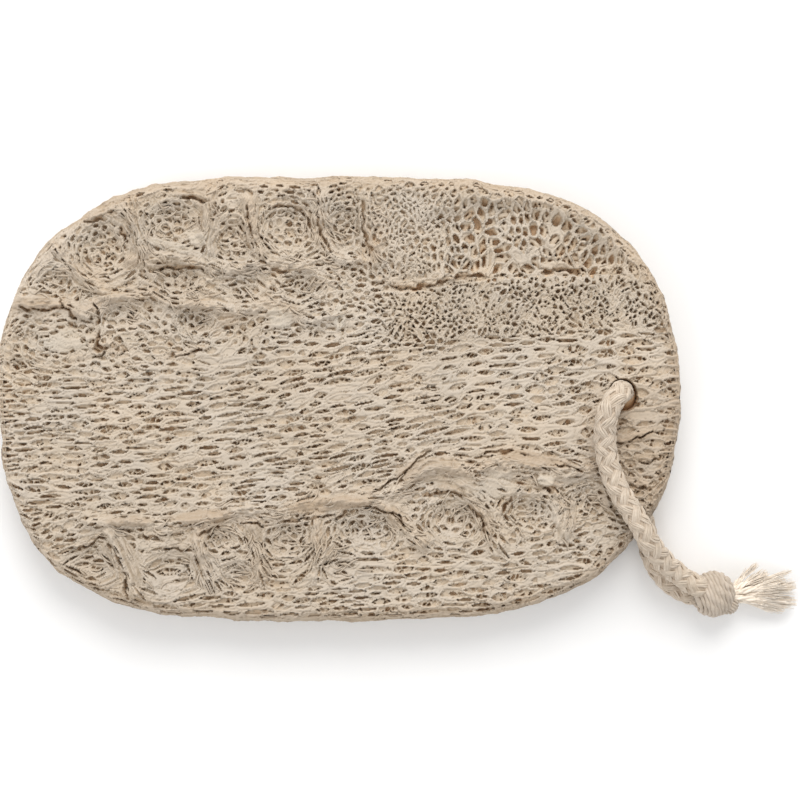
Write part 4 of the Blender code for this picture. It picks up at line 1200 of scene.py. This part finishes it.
def side_net(band, cut):
    """Relief and lines of the side's net, which is more open along the middle of the cut."""
    run = 0.25 * noise(band.x, band.y, 6.0, 81)
    net = Net(band, run, 3.0 - 1.0 * cut, 1.25 + 0.15 * cut, 14, 1)
    surface, hole = strand_layer(net, 0.0, 0.38, 0.70 + 0.22 * cut, 0.15, 0.4, 82)
    lines = streaked(net, run, 0.35, 83)
    pit = -SIDE_PIT - 0.25 * noise(band.x, band.y, 1.5, 84)
    return np.where(hole, pit, surface + 0.12 * lines), lines


def side_piece(name, step, heights_at_rim, material):
    """The pad's rounded side, from just under the top face's edge to just over the underside's."""
    band = Band(step, SIDE_HEIGHT)
    rows, count = len(band.ys), len(band.xs)
    share, inset, z = side_profile(band, heights_at_rim)
    cut = np.exp(-((share[:, None] - 0.5) / 0.28) ** 4) + band.even(0.0)
    relief, lines = side_net(band, cut)
    seam = smooth_step(*SIDE_TOP_SEAM, share) * (1.0 - smooth_step(*SIDE_UNDER_SEAM, share))
    relief = relief * seam[:, None]
    slope = np.arctan2(np.gradient(z, axis=0), -np.gradient(inset, axis=0))
    out_x, out_z = -np.sin(slope), np.cos(slope)
    reach = -inset + out_x * relief
    ring = spread(OUTLINE, count)
    normal = outward(ring)
    px = ring[:, 0] + normal[:, 0] * reach
    py = ring[:, 1] + normal[:, 1] * reach
    pz = z + out_z * relief
    number = np.arange(rows * count).reshape(rows, count)
    ahead = np.roll(number, -1, axis=1)
    faces = np.column_stack([
        number[:-1].ravel(), number[1:].ravel(), ahead[1:].ravel(), ahead[:-1].ravel()])
    # How sunk a place is; the material paints light into the deep places from it.
    sunk = np.clip(-relief / SIDE_DEEPEST_MARK, 0.0, 1.0)
    marks = np.stack([sunk, 0.5 + 0.5 * lines, 1.0 - 0.5 * cut, band.even(0.0)], axis=-1)
    points = np.column_stack([px.ravel(), py.ravel(), pz.ravel()])
    return mesh_piece(name, points, faces, material, None, marks.reshape(-1, 4))


def under_level(x, depth):
    """Height of the underside before its net: it rises a little to the rim and at the right end."""
    lift = RIGHT_END_LIFT * right_end(x) + RIM_LIFT * (1.0 - smooth_step(0.0, RIM_LIFT_WIDTH, depth))
    return REST_MARGIN + lift


def under_relief(sheet):
    """Heights, shifts and marks of the underside: the gourd's outer face, with fibres across the pad."""
    x, y = sheet.x, sheet.y
    level = under_level(x, sheet.depth)
    level = level + 0.9 * np.clip((4.0 - sheet.depth) / 2.6, 0.0, 1.5) ** 1.5
    run = 0.5 * math.pi + 0.22 * noise(x, y, 8.0, 91) + 0.1 * noise(x, y, 3.0, 92)
    net = Net(sheet, run, sheet.even(UNDER_CELL[0]), sheet.even(UNDER_CELL[1]), 15, 1)
    openness = 0.78 + 0.2 * noise(x, y, 6.0, 93)
    surface, hole = strand_layer(net, -level, UNDER_STRAND_HALF, openness, 0.0, 0.45, 94)
    inner_run = run + 0.8 * noise(x, y, 4.0, 97)
    inner_net = Net(sheet, inner_run, sheet.even(UNDER_INNER_CELL[0]), sheet.even(UNDER_INNER_CELL[1]), 17, 1)
    inner_openness = 0.75 + 0.2 * noise(x, y, 4.0, 98)
    inner, inner_hole = strand_layer(
        inner_net, -level, UNDER_INNER_STRAND_HALF, inner_openness, UNDER_INNER_DROP, 0.4, 99)
    lines = streaked(net, run, 0.3, 95, 6)
    surface = np.minimum(surface + 0.12 * lines - 0.12, -UNDER_LOWEST)
    floor = -level - UNDER_FLOOR_DROP - 0.3 * noise(x, y, 2.0, 96)
    height = -np.where(hole, np.where(inner_hole, floor, inner), surface)
    _, highest = rope_rooms(sheet, 0.3)
    height = np.maximum(height, highest)
    # How sunk a place is; the material paints light into the deep places from it.
    sunk = np.clip((height - level) / UNDER_DEEPEST_MARK, 0.0, 1.0)
    marks = np.stack([sunk, 0.5 + 0.5 * lines, sheet.even(0.0), sheet.even(0.0)], axis=-1)
    return height, (0.0, 0.0), marks


# Rope, knot and frayed ends

def tube_parts(path, radius, sides, up, mark, closed=False):
    """Corners, faces and marks of one tube round a path."""
    if closed:
        tangent = unit(np.roll(path, -1, axis=0) - np.roll(path, 1, axis=0))
    else:
        tangent = unit(np.gradient(path, axis=0))
    side = unit(np.cross(tangent, up))
    lift = np.cross(side, tangent)
    turn = 2.0 * np.pi * np.arange(sides) / sides
    radius = np.broadcast_to(np.asarray(radius, float), (len(path),))
    ring = side[:, None, :] * np.cos(turn)[None, :, None] + lift[:, None, :] * np.sin(turn)[None, :, None]
    points = path[:, None, :] + ring * radius[:, None, None]
    count = len(path)
    number = np.arange(count * sides).reshape(count, sides)
    after = np.roll(number, -1, axis=1)
    if closed:
        upper, upper_after = np.roll(number, -1, axis=0), np.roll(after, -1, axis=0)
    else:
        number, after, upper, upper_after = number[:-1], after[:-1], number[1:], after[1:]
    faces = np.column_stack([number.ravel(), after.ravel(), upper_after.ravel(), upper.ravel()])
    marks = np.broadcast_to(np.asarray(mark, float)[:, None, :], (count, sides, 4)).copy()
    return points.reshape(-1, 3), faces, marks.reshape(-1, 4)


def tube_bundle(name, tubes, material):
    """One piece of many tubes, each as tube_parts gives it."""
    points, faces, marks = [], [], []
    start = 0
    for p, f, m in tubes:
        points.append(p)
        faces.append(f + start)
        marks.append(m)
        start += len(p)
    return mesh_piece(name, np.vstack(points), np.vstack(faces), material, None, np.vstack(marks))


def carried_frame(path):
    """Two directions square to a path that turn with it as little as can be."""
    tangent = unit(np.gradient(path, axis=0))
    normal = np.zeros_like(path)
    start = np.cross(tangent[0], (0.0, 0.0, 1.0))
    normal[0] = start / np.linalg.norm(start)
    for k in range(1, len(path)):
        n = normal[k - 1] - tangent[k] * np.dot(normal[k - 1], tangent[k])
        normal[k] = n / np.linalg.norm(n)
    return normal, np.cross(tangent, normal)


def braid(name, route, material):
    """A round braid of eight strands of yarns: four wind each way, over and under by turns."""
    path = curve_through((ROPE_TUCKS[0],) + route + (ROPE_TUCKS[1],), 0.62)
    along = np.concatenate([[0.0], np.cumsum(np.linalg.norm(np.diff(path, axis=0), axis=1))])
    normal, binormal = carried_frame(path)
    drawn_in = 0.62 + 0.38 * smooth_step(0.0, DRAWN_IN_LENGTH, np.minimum(along, along[-1] - along))
    dice = np.random.default_rng(7)
    tubes = []
    for hand in (1.0, -1.0):
        wind = hand * 2.0 * np.pi * along / BRAID_TURN
        over = hand * np.cos(4.0 * 2.0 * np.pi * along / BRAID_TURN)
        for strand in range(4):
            for yarn in range(YARNS):
                place = yarn - (YARNS - 1) / 2.0
                wobble = 0.05 * np.sin(along * 1.3 + dice.random() * 6.3)
                angle = strand * np.pi / 2.0 + wind + (place * YARN_SPACING + wobble) * (1.0 + 0.12 * over)
                radius = BRAID_RADIUS + 0.20 * over - 0.022 * place * place
                radius = (radius + 0.03 * np.sin(along * 2.1 + 9 * yarn)) * drawn_in
                out = normal * np.cos(angle)[:, None] + binormal * np.sin(angle)[:, None]
                shade = dice.random()
                # Painted shade: a yarn takes the deep tint where it passes under the others.
                mark = np.stack([0.5 - 0.5 * over, shade + 0 * over, 0 * over, 0 * over], axis=-1)
                thick = YARN_RADIUS * (1.0 + 0.08 * np.sin(along * 3.7 + dice.random() * 6.3))
                tubes.append(tube_parts(path + out * radius[:, None], thick, 6, out, mark))
    # Painted shade: the core between the strands takes the full deep tint.
    core_shade_mark = np.tile((1.0, 0.3, 0.0, 0.0), (len(path), 1))
    tubes.append(tube_parts(path, BRAID_CORE_RADIUS * drawn_in, 10, normal, core_shade_mark))
    return tube_bundle(name, tubes, material)


def ellipsoid_ring(centre, radii, axis, shift, count, lean):
    """A closed path round an ellipsoid, in the plane square to an axis and shifted along it."""
    axis = np.array(axis) / np.linalg.norm(axis)
    first = np.cross(axis, (0.0, 0.0, 1.0))
    first = first / np.linalg.norm(first)
    second = np.cross(first, axis)
    turn = 2.0 * np.pi * np.arange(count) / count
    slide = shift + lean * np.sin(turn)
    slide = np.clip(slide, -0.97, 0.97)
    waist = np.sqrt(1.0 - slide ** 2)
    round_axis = first * np.cos(turn)[:, None] + second * np.sin(turn)[:, None]
    ball = axis * slide[:, None] + round_axis * waist[:, None]
    out = unit(ball / np.array(radii))
    return np.array(centre) + ball * np.array(radii), out


def ball_core(centre, radii, axis):
    """A rounded core that closes the inside of a bundle of rings."""
    slide = np.cos(np.linspace(math.pi, 0.0, 16)) * 0.96
    path = np.array(centre) + unit(np.array(axis)) * slide[:, None] * radii[0]
    radius = radii[1] * np.sqrt(1.0 - slide ** 2)
    return tube_parts(path, radius, 18, (0.0, 0.0, 1.0), np.tile(CORE_MARK, (16, 1)))


def knot_piece(name, material):
    """The overhand knot: one broad turn of many yarns, and a small second turn beside it."""
    dice = np.random.default_rng(17)
    tubes = []
    turn = 2.0 * np.pi * np.arange(KNOT_POINTS) / KNOT_POINTS
    for k in range(KNOT_YARNS):
        shift = -0.90 + 1.80 * k / (KNOT_YARNS - 1)
        path, out = ellipsoid_ring(KNOT_MIDDLE, KNOT_RADII, KNOT_AXIS, shift, KNOT_POINTS, 0.14)
        path = path + out * (0.14 * np.sin(7 * turn + k * 2.2) + 0.08 * dice.random())[:, None]
        dark = 0.65 + 0.35 * dice.random() + 0.1 * np.sin(turn)
        mark = np.stack([dark, 0.7 * dice.random() + 0 * turn, 0 * turn, 0 * turn], axis=-1)
        thick = KNOT_YARN_RADIUS * (1.0 + 0.12 * np.sin(9 * turn + k * 1.7))
        tubes.append(tube_parts(path, thick, 6, out, mark, True))
    for k in range(LOBE_YARNS):
        shift = -0.92 + 1.84 * k / (LOBE_YARNS - 1)
        path, out = ellipsoid_ring(LOBE_MIDDLE, LOBE_RADII, LOBE_AXIS, shift, LOBE_POINTS, 0.1)
        mark = np.tile((0.7 + 0.3 * dice.random(), 0.7 * dice.random(), 0.0, 0.0), (LOBE_POINTS, 1))
        tubes.append(tube_parts(path, LOBE_YARN_RADIUS, 6, out, mark, True))
    tubes.append(ball_core(LOBE_MIDDLE, LOBE_CORE, LOBE_AXIS))
    tubes.append(ball_core(KNOT_MIDDLE, KNOT_CORE, KNOT_AXIS))
    return tube_bundle(name, tubes, material)


def frayed_fibre(dice, start, tip, side, rise, width):
    """A fine fibre of a clump, twisted with the others at the knot and fanned out at the tip."""
    t = np.linspace(0.0, 1.0, TASSEL_STEPS)
    reach = 0.66 + 0.36 * dice.random()
    a, b = dice.normal(0, 0.5), dice.normal(0, 0.5)
    twist = 2.0 * np.pi * (0.9 * t) + math.atan2(b, a)
    tight = 0.42 * min(math.hypot(a, b), 1.4) * np.exp(-3.0 * t)
    fan = t ** 1.2
    path = start + (tip - start) * (t * reach)[:, None]
    path = path + side * (tight * np.cos(twist) + a * width * fan)[:, None]
    path = path + rise * (tight * np.sin(twist) + b * 0.35 * width * fan)[:, None]
    sag = 0.35 * dice.normal() * t * t
    path[:, 2] = np.maximum(path[:, 2] + sag, LOWEST_FIBRE)
    thick = (0.13 + 0.05 * dice.random()) * (1.0 - 0.55 * t)
    # Painted shade: the fibre is darker near the knot, fading to none at the tip.
    mark = np.stack([0.3 * (1 - t), dice.random() + 0 * t, t, 0 * t], axis=-1)
    return tube_parts(path, thick, 3, np.broadcast_to(rise, path.shape), mark)


def root_yarn(dice, k, start, tip, side, rise, width):
    """One of the three yarns at a clump's root, which thins out among the fibres."""
    t = np.linspace(0.0, 1.0, TASSEL_STEPS)
    turn = 2.0 * np.pi * (1.1 * t + k / 3.0)
    path = start + (tip - start) * (0.62 * t)[:, None]
    path = path + END_YARN_RADIUS * (side * np.cos(turn)[:, None] + rise * np.sin(turn)[:, None])
    path = path + side * (0.3 * (k - 1) * t * t * width)[:, None]
    path[:, 2] = np.maximum(path[:, 2], LOWEST_YARN)
    # A little painted shade on the root yarns among the fibres.
    mark = np.stack([0.2 + 0 * t, 0.4 + 0.5 * dice.random() + 0 * t, 0.5 * t, 0 * t], axis=-1)
    thick = END_YARN_RADIUS * (1.0 - 0.9 * t ** 3)
    return tube_parts(path, thick, 5, np.broadcast_to(rise, path.shape), mark)


def tassel_piece(name, material):
    """The cut ends: clumps of fine fibres that leave the knot as twisted yarns and fan out."""
    dice = np.random.default_rng(27)
    tubes = []
    root = np.array(TASSEL_ROOT)
    for number, (tip, width, fibres) in enumerate(CLUMPS):
        tip = np.array(tip)
        heading = unit(tip - root)
        side = unit(np.cross(heading, (0.0, 0.0, 1.0)))
        rise = np.cross(side, heading)
        start = root + side * (CLUMP_SPACING * (number - 4)) + rise * (CLUMP_STAGGER * math.sin(number * 2.4))
        for _ in range(FIBRE_SHARE * fibres):
            tubes.append(frayed_fibre(dice, start, tip, side, rise, width))
        for k in range(3):
            tubes.append(root_yarn(dice, k, start, tip, side, rise, width))
    return tube_bundle(name, tubes, material)


def loose_place(dice):
    """A place near one of the torn walls, or else in one of the chambers."""
    if dice.random() < LOOSE_WALL_SHARE:
        _, _, line = SEPTA[dice.integers(len(SEPTA))]
        k = dice.integers(len(line) - 1)
        share = dice.random()
        x = line[k][0] + (line[k + 1][0] - line[k][0]) * share + dice.normal(0, 1.3)
        y = line[k][1] + (line[k + 1][1] - line[k][1]) * share + dice.normal(0, 1.3)
        return x, y
    x, y, rx, ry, _ = SEED_CHAMBERS[dice.integers(len(SEED_CHAMBERS))]
    return x + dice.normal(0, 0.6) * rx, y + dice.normal(0, 0.6) * ry


def loose_fibres(name, sheet, forms, count, material):
    """Torn fibre ends and strands that stand over the relief, most of them on the torn walls."""
    dice = np.random.default_rng(61)
    tubes = []
    t = np.linspace(0.0, 1.0, LOOSE_STEPS)
    while len(tubes) < count:
        x, y = loose_place(dice)
        if sheet.sample(sheet.depth, np.array(x), np.array(y)) < LOOSE_DEPTH:
            continue
        run = float(sheet.sample(forms.run, np.array(x), np.array(y))) + dice.normal(0, 0.5)
        length = 1.6 + 3.2 * dice.random()
        bend = dice.normal(0, 0.9)
        turn = run + bend * (t - 0.5)
        px = x + np.cumsum(np.cos(turn)) * length / LOOSE_STEPS
        py = y + np.cumsum(np.sin(turn)) * length / LOOSE_STEPS
        base = sheet.sample(forms.height, px, py)
        lift = (0.15 + 0.4 * dice.random()) * np.sin(np.pi * t ** (0.6 + 0.8 * dice.random()))
        pz = base + lift - 0.22
        thick = (0.15 + 0.09 * dice.random()) * (0.45 + 0.55 * np.sin(np.pi * np.clip(t, 0.08, 0.92)))
        path = np.column_stack([px, py, pz])
        mark = np.tile((0.05, 0.30 + 0.25 * dice.random(), 0.3, 0.0), (LOOSE_STEPS, 1))
        tubes.append(tube_parts(path, thick, 5, np.tile((0.0, 0.0, 1.0), (LOOSE_STEPS, 1)), mark))
    return tube_bundle(name, tubes, material)


# Materials

def new_material(name):
    """A material with an empty principled shader, its tree and the shader."""
    material = bpy.data.materials.new(name)
    material.use_nodes = True
    tree = material.node_tree
    tree.nodes.clear()
    out = tree.nodes.new("ShaderNodeOutputMaterial")
    shader = tree.nodes.new("ShaderNodeBsdfPrincipled")
    tree.links.new(shader.outputs["BSDF"], out.inputs["Surface"])
    return material, tree, shader


def fibre_marks(tree):
    """The colour marks: how sunk a place is, from which the loofah material paints light into hollows and the
    cotton ones paint shade; its tone; how tanned it is, with painted shade in the cracks; and how bleached.
    """
    marks = tree.nodes.new("ShaderNodeAttribute")
    marks.attribute_name = MARKS_NAME
    parts = tree.nodes.new("ShaderNodeSeparateColor")
    tree.links.new(marks.outputs["Color"], parts.inputs["Color"])
    return parts.outputs["Red"], parts.outputs["Green"], parts.outputs["Blue"], marks.outputs["Alpha"]


def cloud(tree, scale, detail=2.0):
    """Soft noise fixed to the object."""
    coords = tree.nodes.new("ShaderNodeTexCoord")
    node = tree.nodes.new("ShaderNodeTexNoise")
    node.inputs["Scale"].default_value = scale
    node.inputs["Detail"].default_value = detail
    tree.links.new(coords.outputs["Object"], node.inputs["Vector"])
    return node.outputs["Fac"]


def mix_colour(tree, factor, first, second, blend="MIX"):
    node = tree.nodes.new("ShaderNodeMix")
    node.data_type = "RGBA"
    node.blend_type = blend
    for socket_name, value in (("Factor", factor), ("A", first), ("B", second)):
        socket = node.inputs[socket_name]
        if isinstance(value, bpy.types.NodeSocket):
            tree.links.new(value, socket)
        else:
            socket.default_value = value
    return node.outputs["Result"]


def ramp(tree, factor, stops):
    node = tree.nodes.new("ShaderNodeValToRGB")
    tree.links.new(factor, node.inputs["Fac"])
    while len(node.color_ramp.elements) < len(stops):
        node.color_ramp.elements.new(0.5)
    for element, (position, colour) in zip(node.color_ramp.elements, stops):
        element.position = position
        element.color = colour
    return node.outputs["Color"]


def loofah_material():
    material, tree, shader = new_material("dry_loofah_fibre")
    sunk, tone, tan, white = fibre_marks(tree)
    pale = mix_colour(tree, cloud(tree, 55.0, 4.0), (0.46, 0.394, 0.317, 1), (0.58, 0.505, 0.417, 1))
    # The tone mark multiplies the colour: the fibres' grain lines, with painted highlight on crests and
    # painted shade in the hollows.
    grain_and_painted_shade = ramp(tree, tone, (
        (0.0, (0.74, 0.70, 0.64, 1)), (0.45, (0.98, 0.97, 0.955, 1)), (1.0, (1.16, 1.155, 1.15, 1))))
    pale = mix_colour(tree, 1.0, pale, grain_and_painted_shade, "MULTIPLY")
    cool = ramp(tree, cloud(tree, 90.0), ((0.35, (1.015, 0.995, 0.975, 1)), (0.65, (0.985, 1.0, 1.03, 1))))
    pale = mix_colour(tree, 1.0, pale, cool, "MULTIPLY")
    # The tan mark browns the colour: real tan on walls, skins and rim, and painted shade in the cracks' pits.
    tanned = mix_colour(tree, 0.58, pale, (0.45, 0.343, 0.243, 1))
    pale = mix_colour(tree, tan, pale, tanned)
    bleached = mix_colour(tree, 0.35, pale, (0.60, 0.545, 0.46, 1))
    pale = mix_colour(tree, white, pale, bleached)
    # Painted light: deeper places are made lighter, and warmer at the deepest, to lift the shade that falls
    # in the hollows.
    shade = ramp(tree, sunk, (
        (0.0, (1.0, 1.0, 1.0, 1)), (0.10, (1.04, 1.03, 1.01, 1)), (0.25, (1.14, 1.09, 1.01, 1)),
        (0.6, (1.36, 1.20, 1.02, 1)), (1.0, (1.32, 1.10, 0.88, 1))))
    colour = mix_colour(tree, 1.0, pale, shade, "MULTIPLY")
    tree.links.new(colour, shader.inputs["Base Color"])
    shader.inputs["Roughness"].default_value = 0.85
    shader.inputs["Specular IOR Level"].default_value = 0.25
    return material


def cotton_material(name, dark, light, root):
    material, tree, shader = new_material(name)
    sunk, tone, _, _ = fibre_marks(tree)
    pale = mix_colour(tree, tone, dark, light)
    speck = ramp(tree, cloud(tree, 900.0, 3.0), ((0.3, (0.86, 0.84, 0.82, 1)), (0.7, (1.05, 1.05, 1.05, 1))))
    pale = mix_colour(tree, 1.0, pale, speck, "MULTIPLY")
    # Painted shade: the sunk mark darkens the colour towards the third colour.
    shade = ramp(tree, sunk, ((0.0, (1, 1, 1, 1)), (1.0, root)))
    colour = mix_colour(tree, 1.0, pale, shade, "MULTIPLY")
    tree.links.new(colour, shader.inputs["Base Color"])
    shader.inputs["Roughness"].default_value = 0.9
    shader.inputs["Specular IOR Level"].default_value = 0.2
    shader.inputs["Sheen Weight"].default_value = 0.15
    return material


# Stage: camera, light and floor

def aim(item, target):
    direction = Vector(target) - item.location
    item.rotation_mode = "QUATERNION"
    item.rotation_quaternion = direction.to_track_quat("-Z", "Y")


def area_light(name, place, target, size, watts, colour=(1.0, 1.0, 1.0)):
    lamp = bpy.data.lights.new(name, "AREA")
    lamp.energy = watts
    lamp.shape = "DISK"
    lamp.size = size
    lamp.color = colour
    item = bpy.data.objects.new(name, lamp)
    bpy.context.scene.collection.objects.link(item)
    item.location = place
    aim(item, target)


def make_camera():
    """A long lens over the pad, a little towards the edge that is uppermost in the photo."""
    data = bpy.data.cameras.new("camera")
    data.lens = CAMERA_LENS
    data.sensor_width = CAMERA_SENSOR
    camera = bpy.data.objects.new("camera", data)
    bpy.context.scene.collection.objects.link(camera)
    tilt = math.radians(CAMERA_TILT)
    reach = CAMERA_VIEW_WIDTH * CAMERA_LENS / CAMERA_SENSOR
    camera.location = Vector(CAMERA_MIDDLE) + Vector((0.0, math.sin(tilt), math.cos(tilt))) * reach
    camera.rotation_euler = (-tilt, 0.0, 0.0)
    bpy.context.scene.camera = camera


def make_floor():
    bpy.ops.mesh.primitive_plane_add(size=6.0)
    floor = bpy.context.active_object
    floor.name = "floor"
    material, tree, shader = new_material("pale_floor")
    pale = mix_colour(tree, cloud(tree, 40.0), (0.93, 0.93, 0.93, 1), (0.95, 0.95, 0.95, 1))
    tree.links.new(pale, shader.inputs["Base Color"])
    shader.inputs["Roughness"].default_value = 0.9
    floor.data.materials.append(material)


def make_light():
    """A soft key light from beyond the photo's upper edge, a weak fill light and an even white surround."""
    area_light("key", (0.12, 0.85, 0.68), (0, 0, 0), 0.9, 10.0, (1.0, 0.985, 0.96))
    area_light("fill", (-0.7, -0.5, 0.8), (0, 0, 0), 0.9, 3.5)
    world = bpy.data.worlds.new("studio")
    world.use_nodes = True
    world.node_tree.nodes["Background"].inputs["Color"].default_value = (1.0, 1.0, 1.0, 1.0)
    world.node_tree.nodes["Background"].inputs["Strength"].default_value = 0.69
    bpy.context.scene.world = world
    bpy.context.scene.view_settings.view_transform = "Standard"


make_camera()
make_floor()
make_light()

ROPE = cotton_material("cotton_braid", *BRAID_COLOURS)
KNOT = cotton_material("cotton_knot", *KNOT_COLOURS)
TASSEL = cotton_material("cotton_fray", *TASSEL_COLOURS)
rope = braid("rope_braid", ROPE_ROUTE, ROPE)
knot = knot_piece("rope_knot_turns", KNOT)
tassel = tassel_piece("rope_frayed_ends", TASSEL)
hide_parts("rope_loop")
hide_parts("rope_knot")
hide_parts("rope_tassel")
route_m = [tuple(c * MM for c in place) for place in ROPE_ROUTE]
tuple(route_m[0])

LOOFAH = loofah_material()
TOP_NAMES = ("net_left", "net_middle_left", "net_middle_right", "net_right")
top_sheet = Sheet(TOP_STEP)
*top, forms = top_relief(top_sheet)
pieces = face_pieces(top_sheet, top, TOP_NAMES, LOOFAH, SIDE_INSET, True)
under_sheet = Sheet(UNDER_STEP)
pieces += face_pieces(under_sheet, under_relief(under_sheet), ("under_net",), LOOFAH, UNDER_INSET, False)
rim_places = OUTLINE - OUTLINE_NORMAL * UNDER_RIM_INSET
rim_under = under_level(rim_places[:, 0], UNDER_RIM_INSET)
pieces.append(side_piece("side_net", SIDE_STEP, (forms.rim_top, rim_under), LOOFAH))
pieces.append(loose_fibres("torn_fibres", top_sheet, forms, LOOSE_FIBRES, LOOFAH))
for piece in pieces:
    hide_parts("loofah_pad")
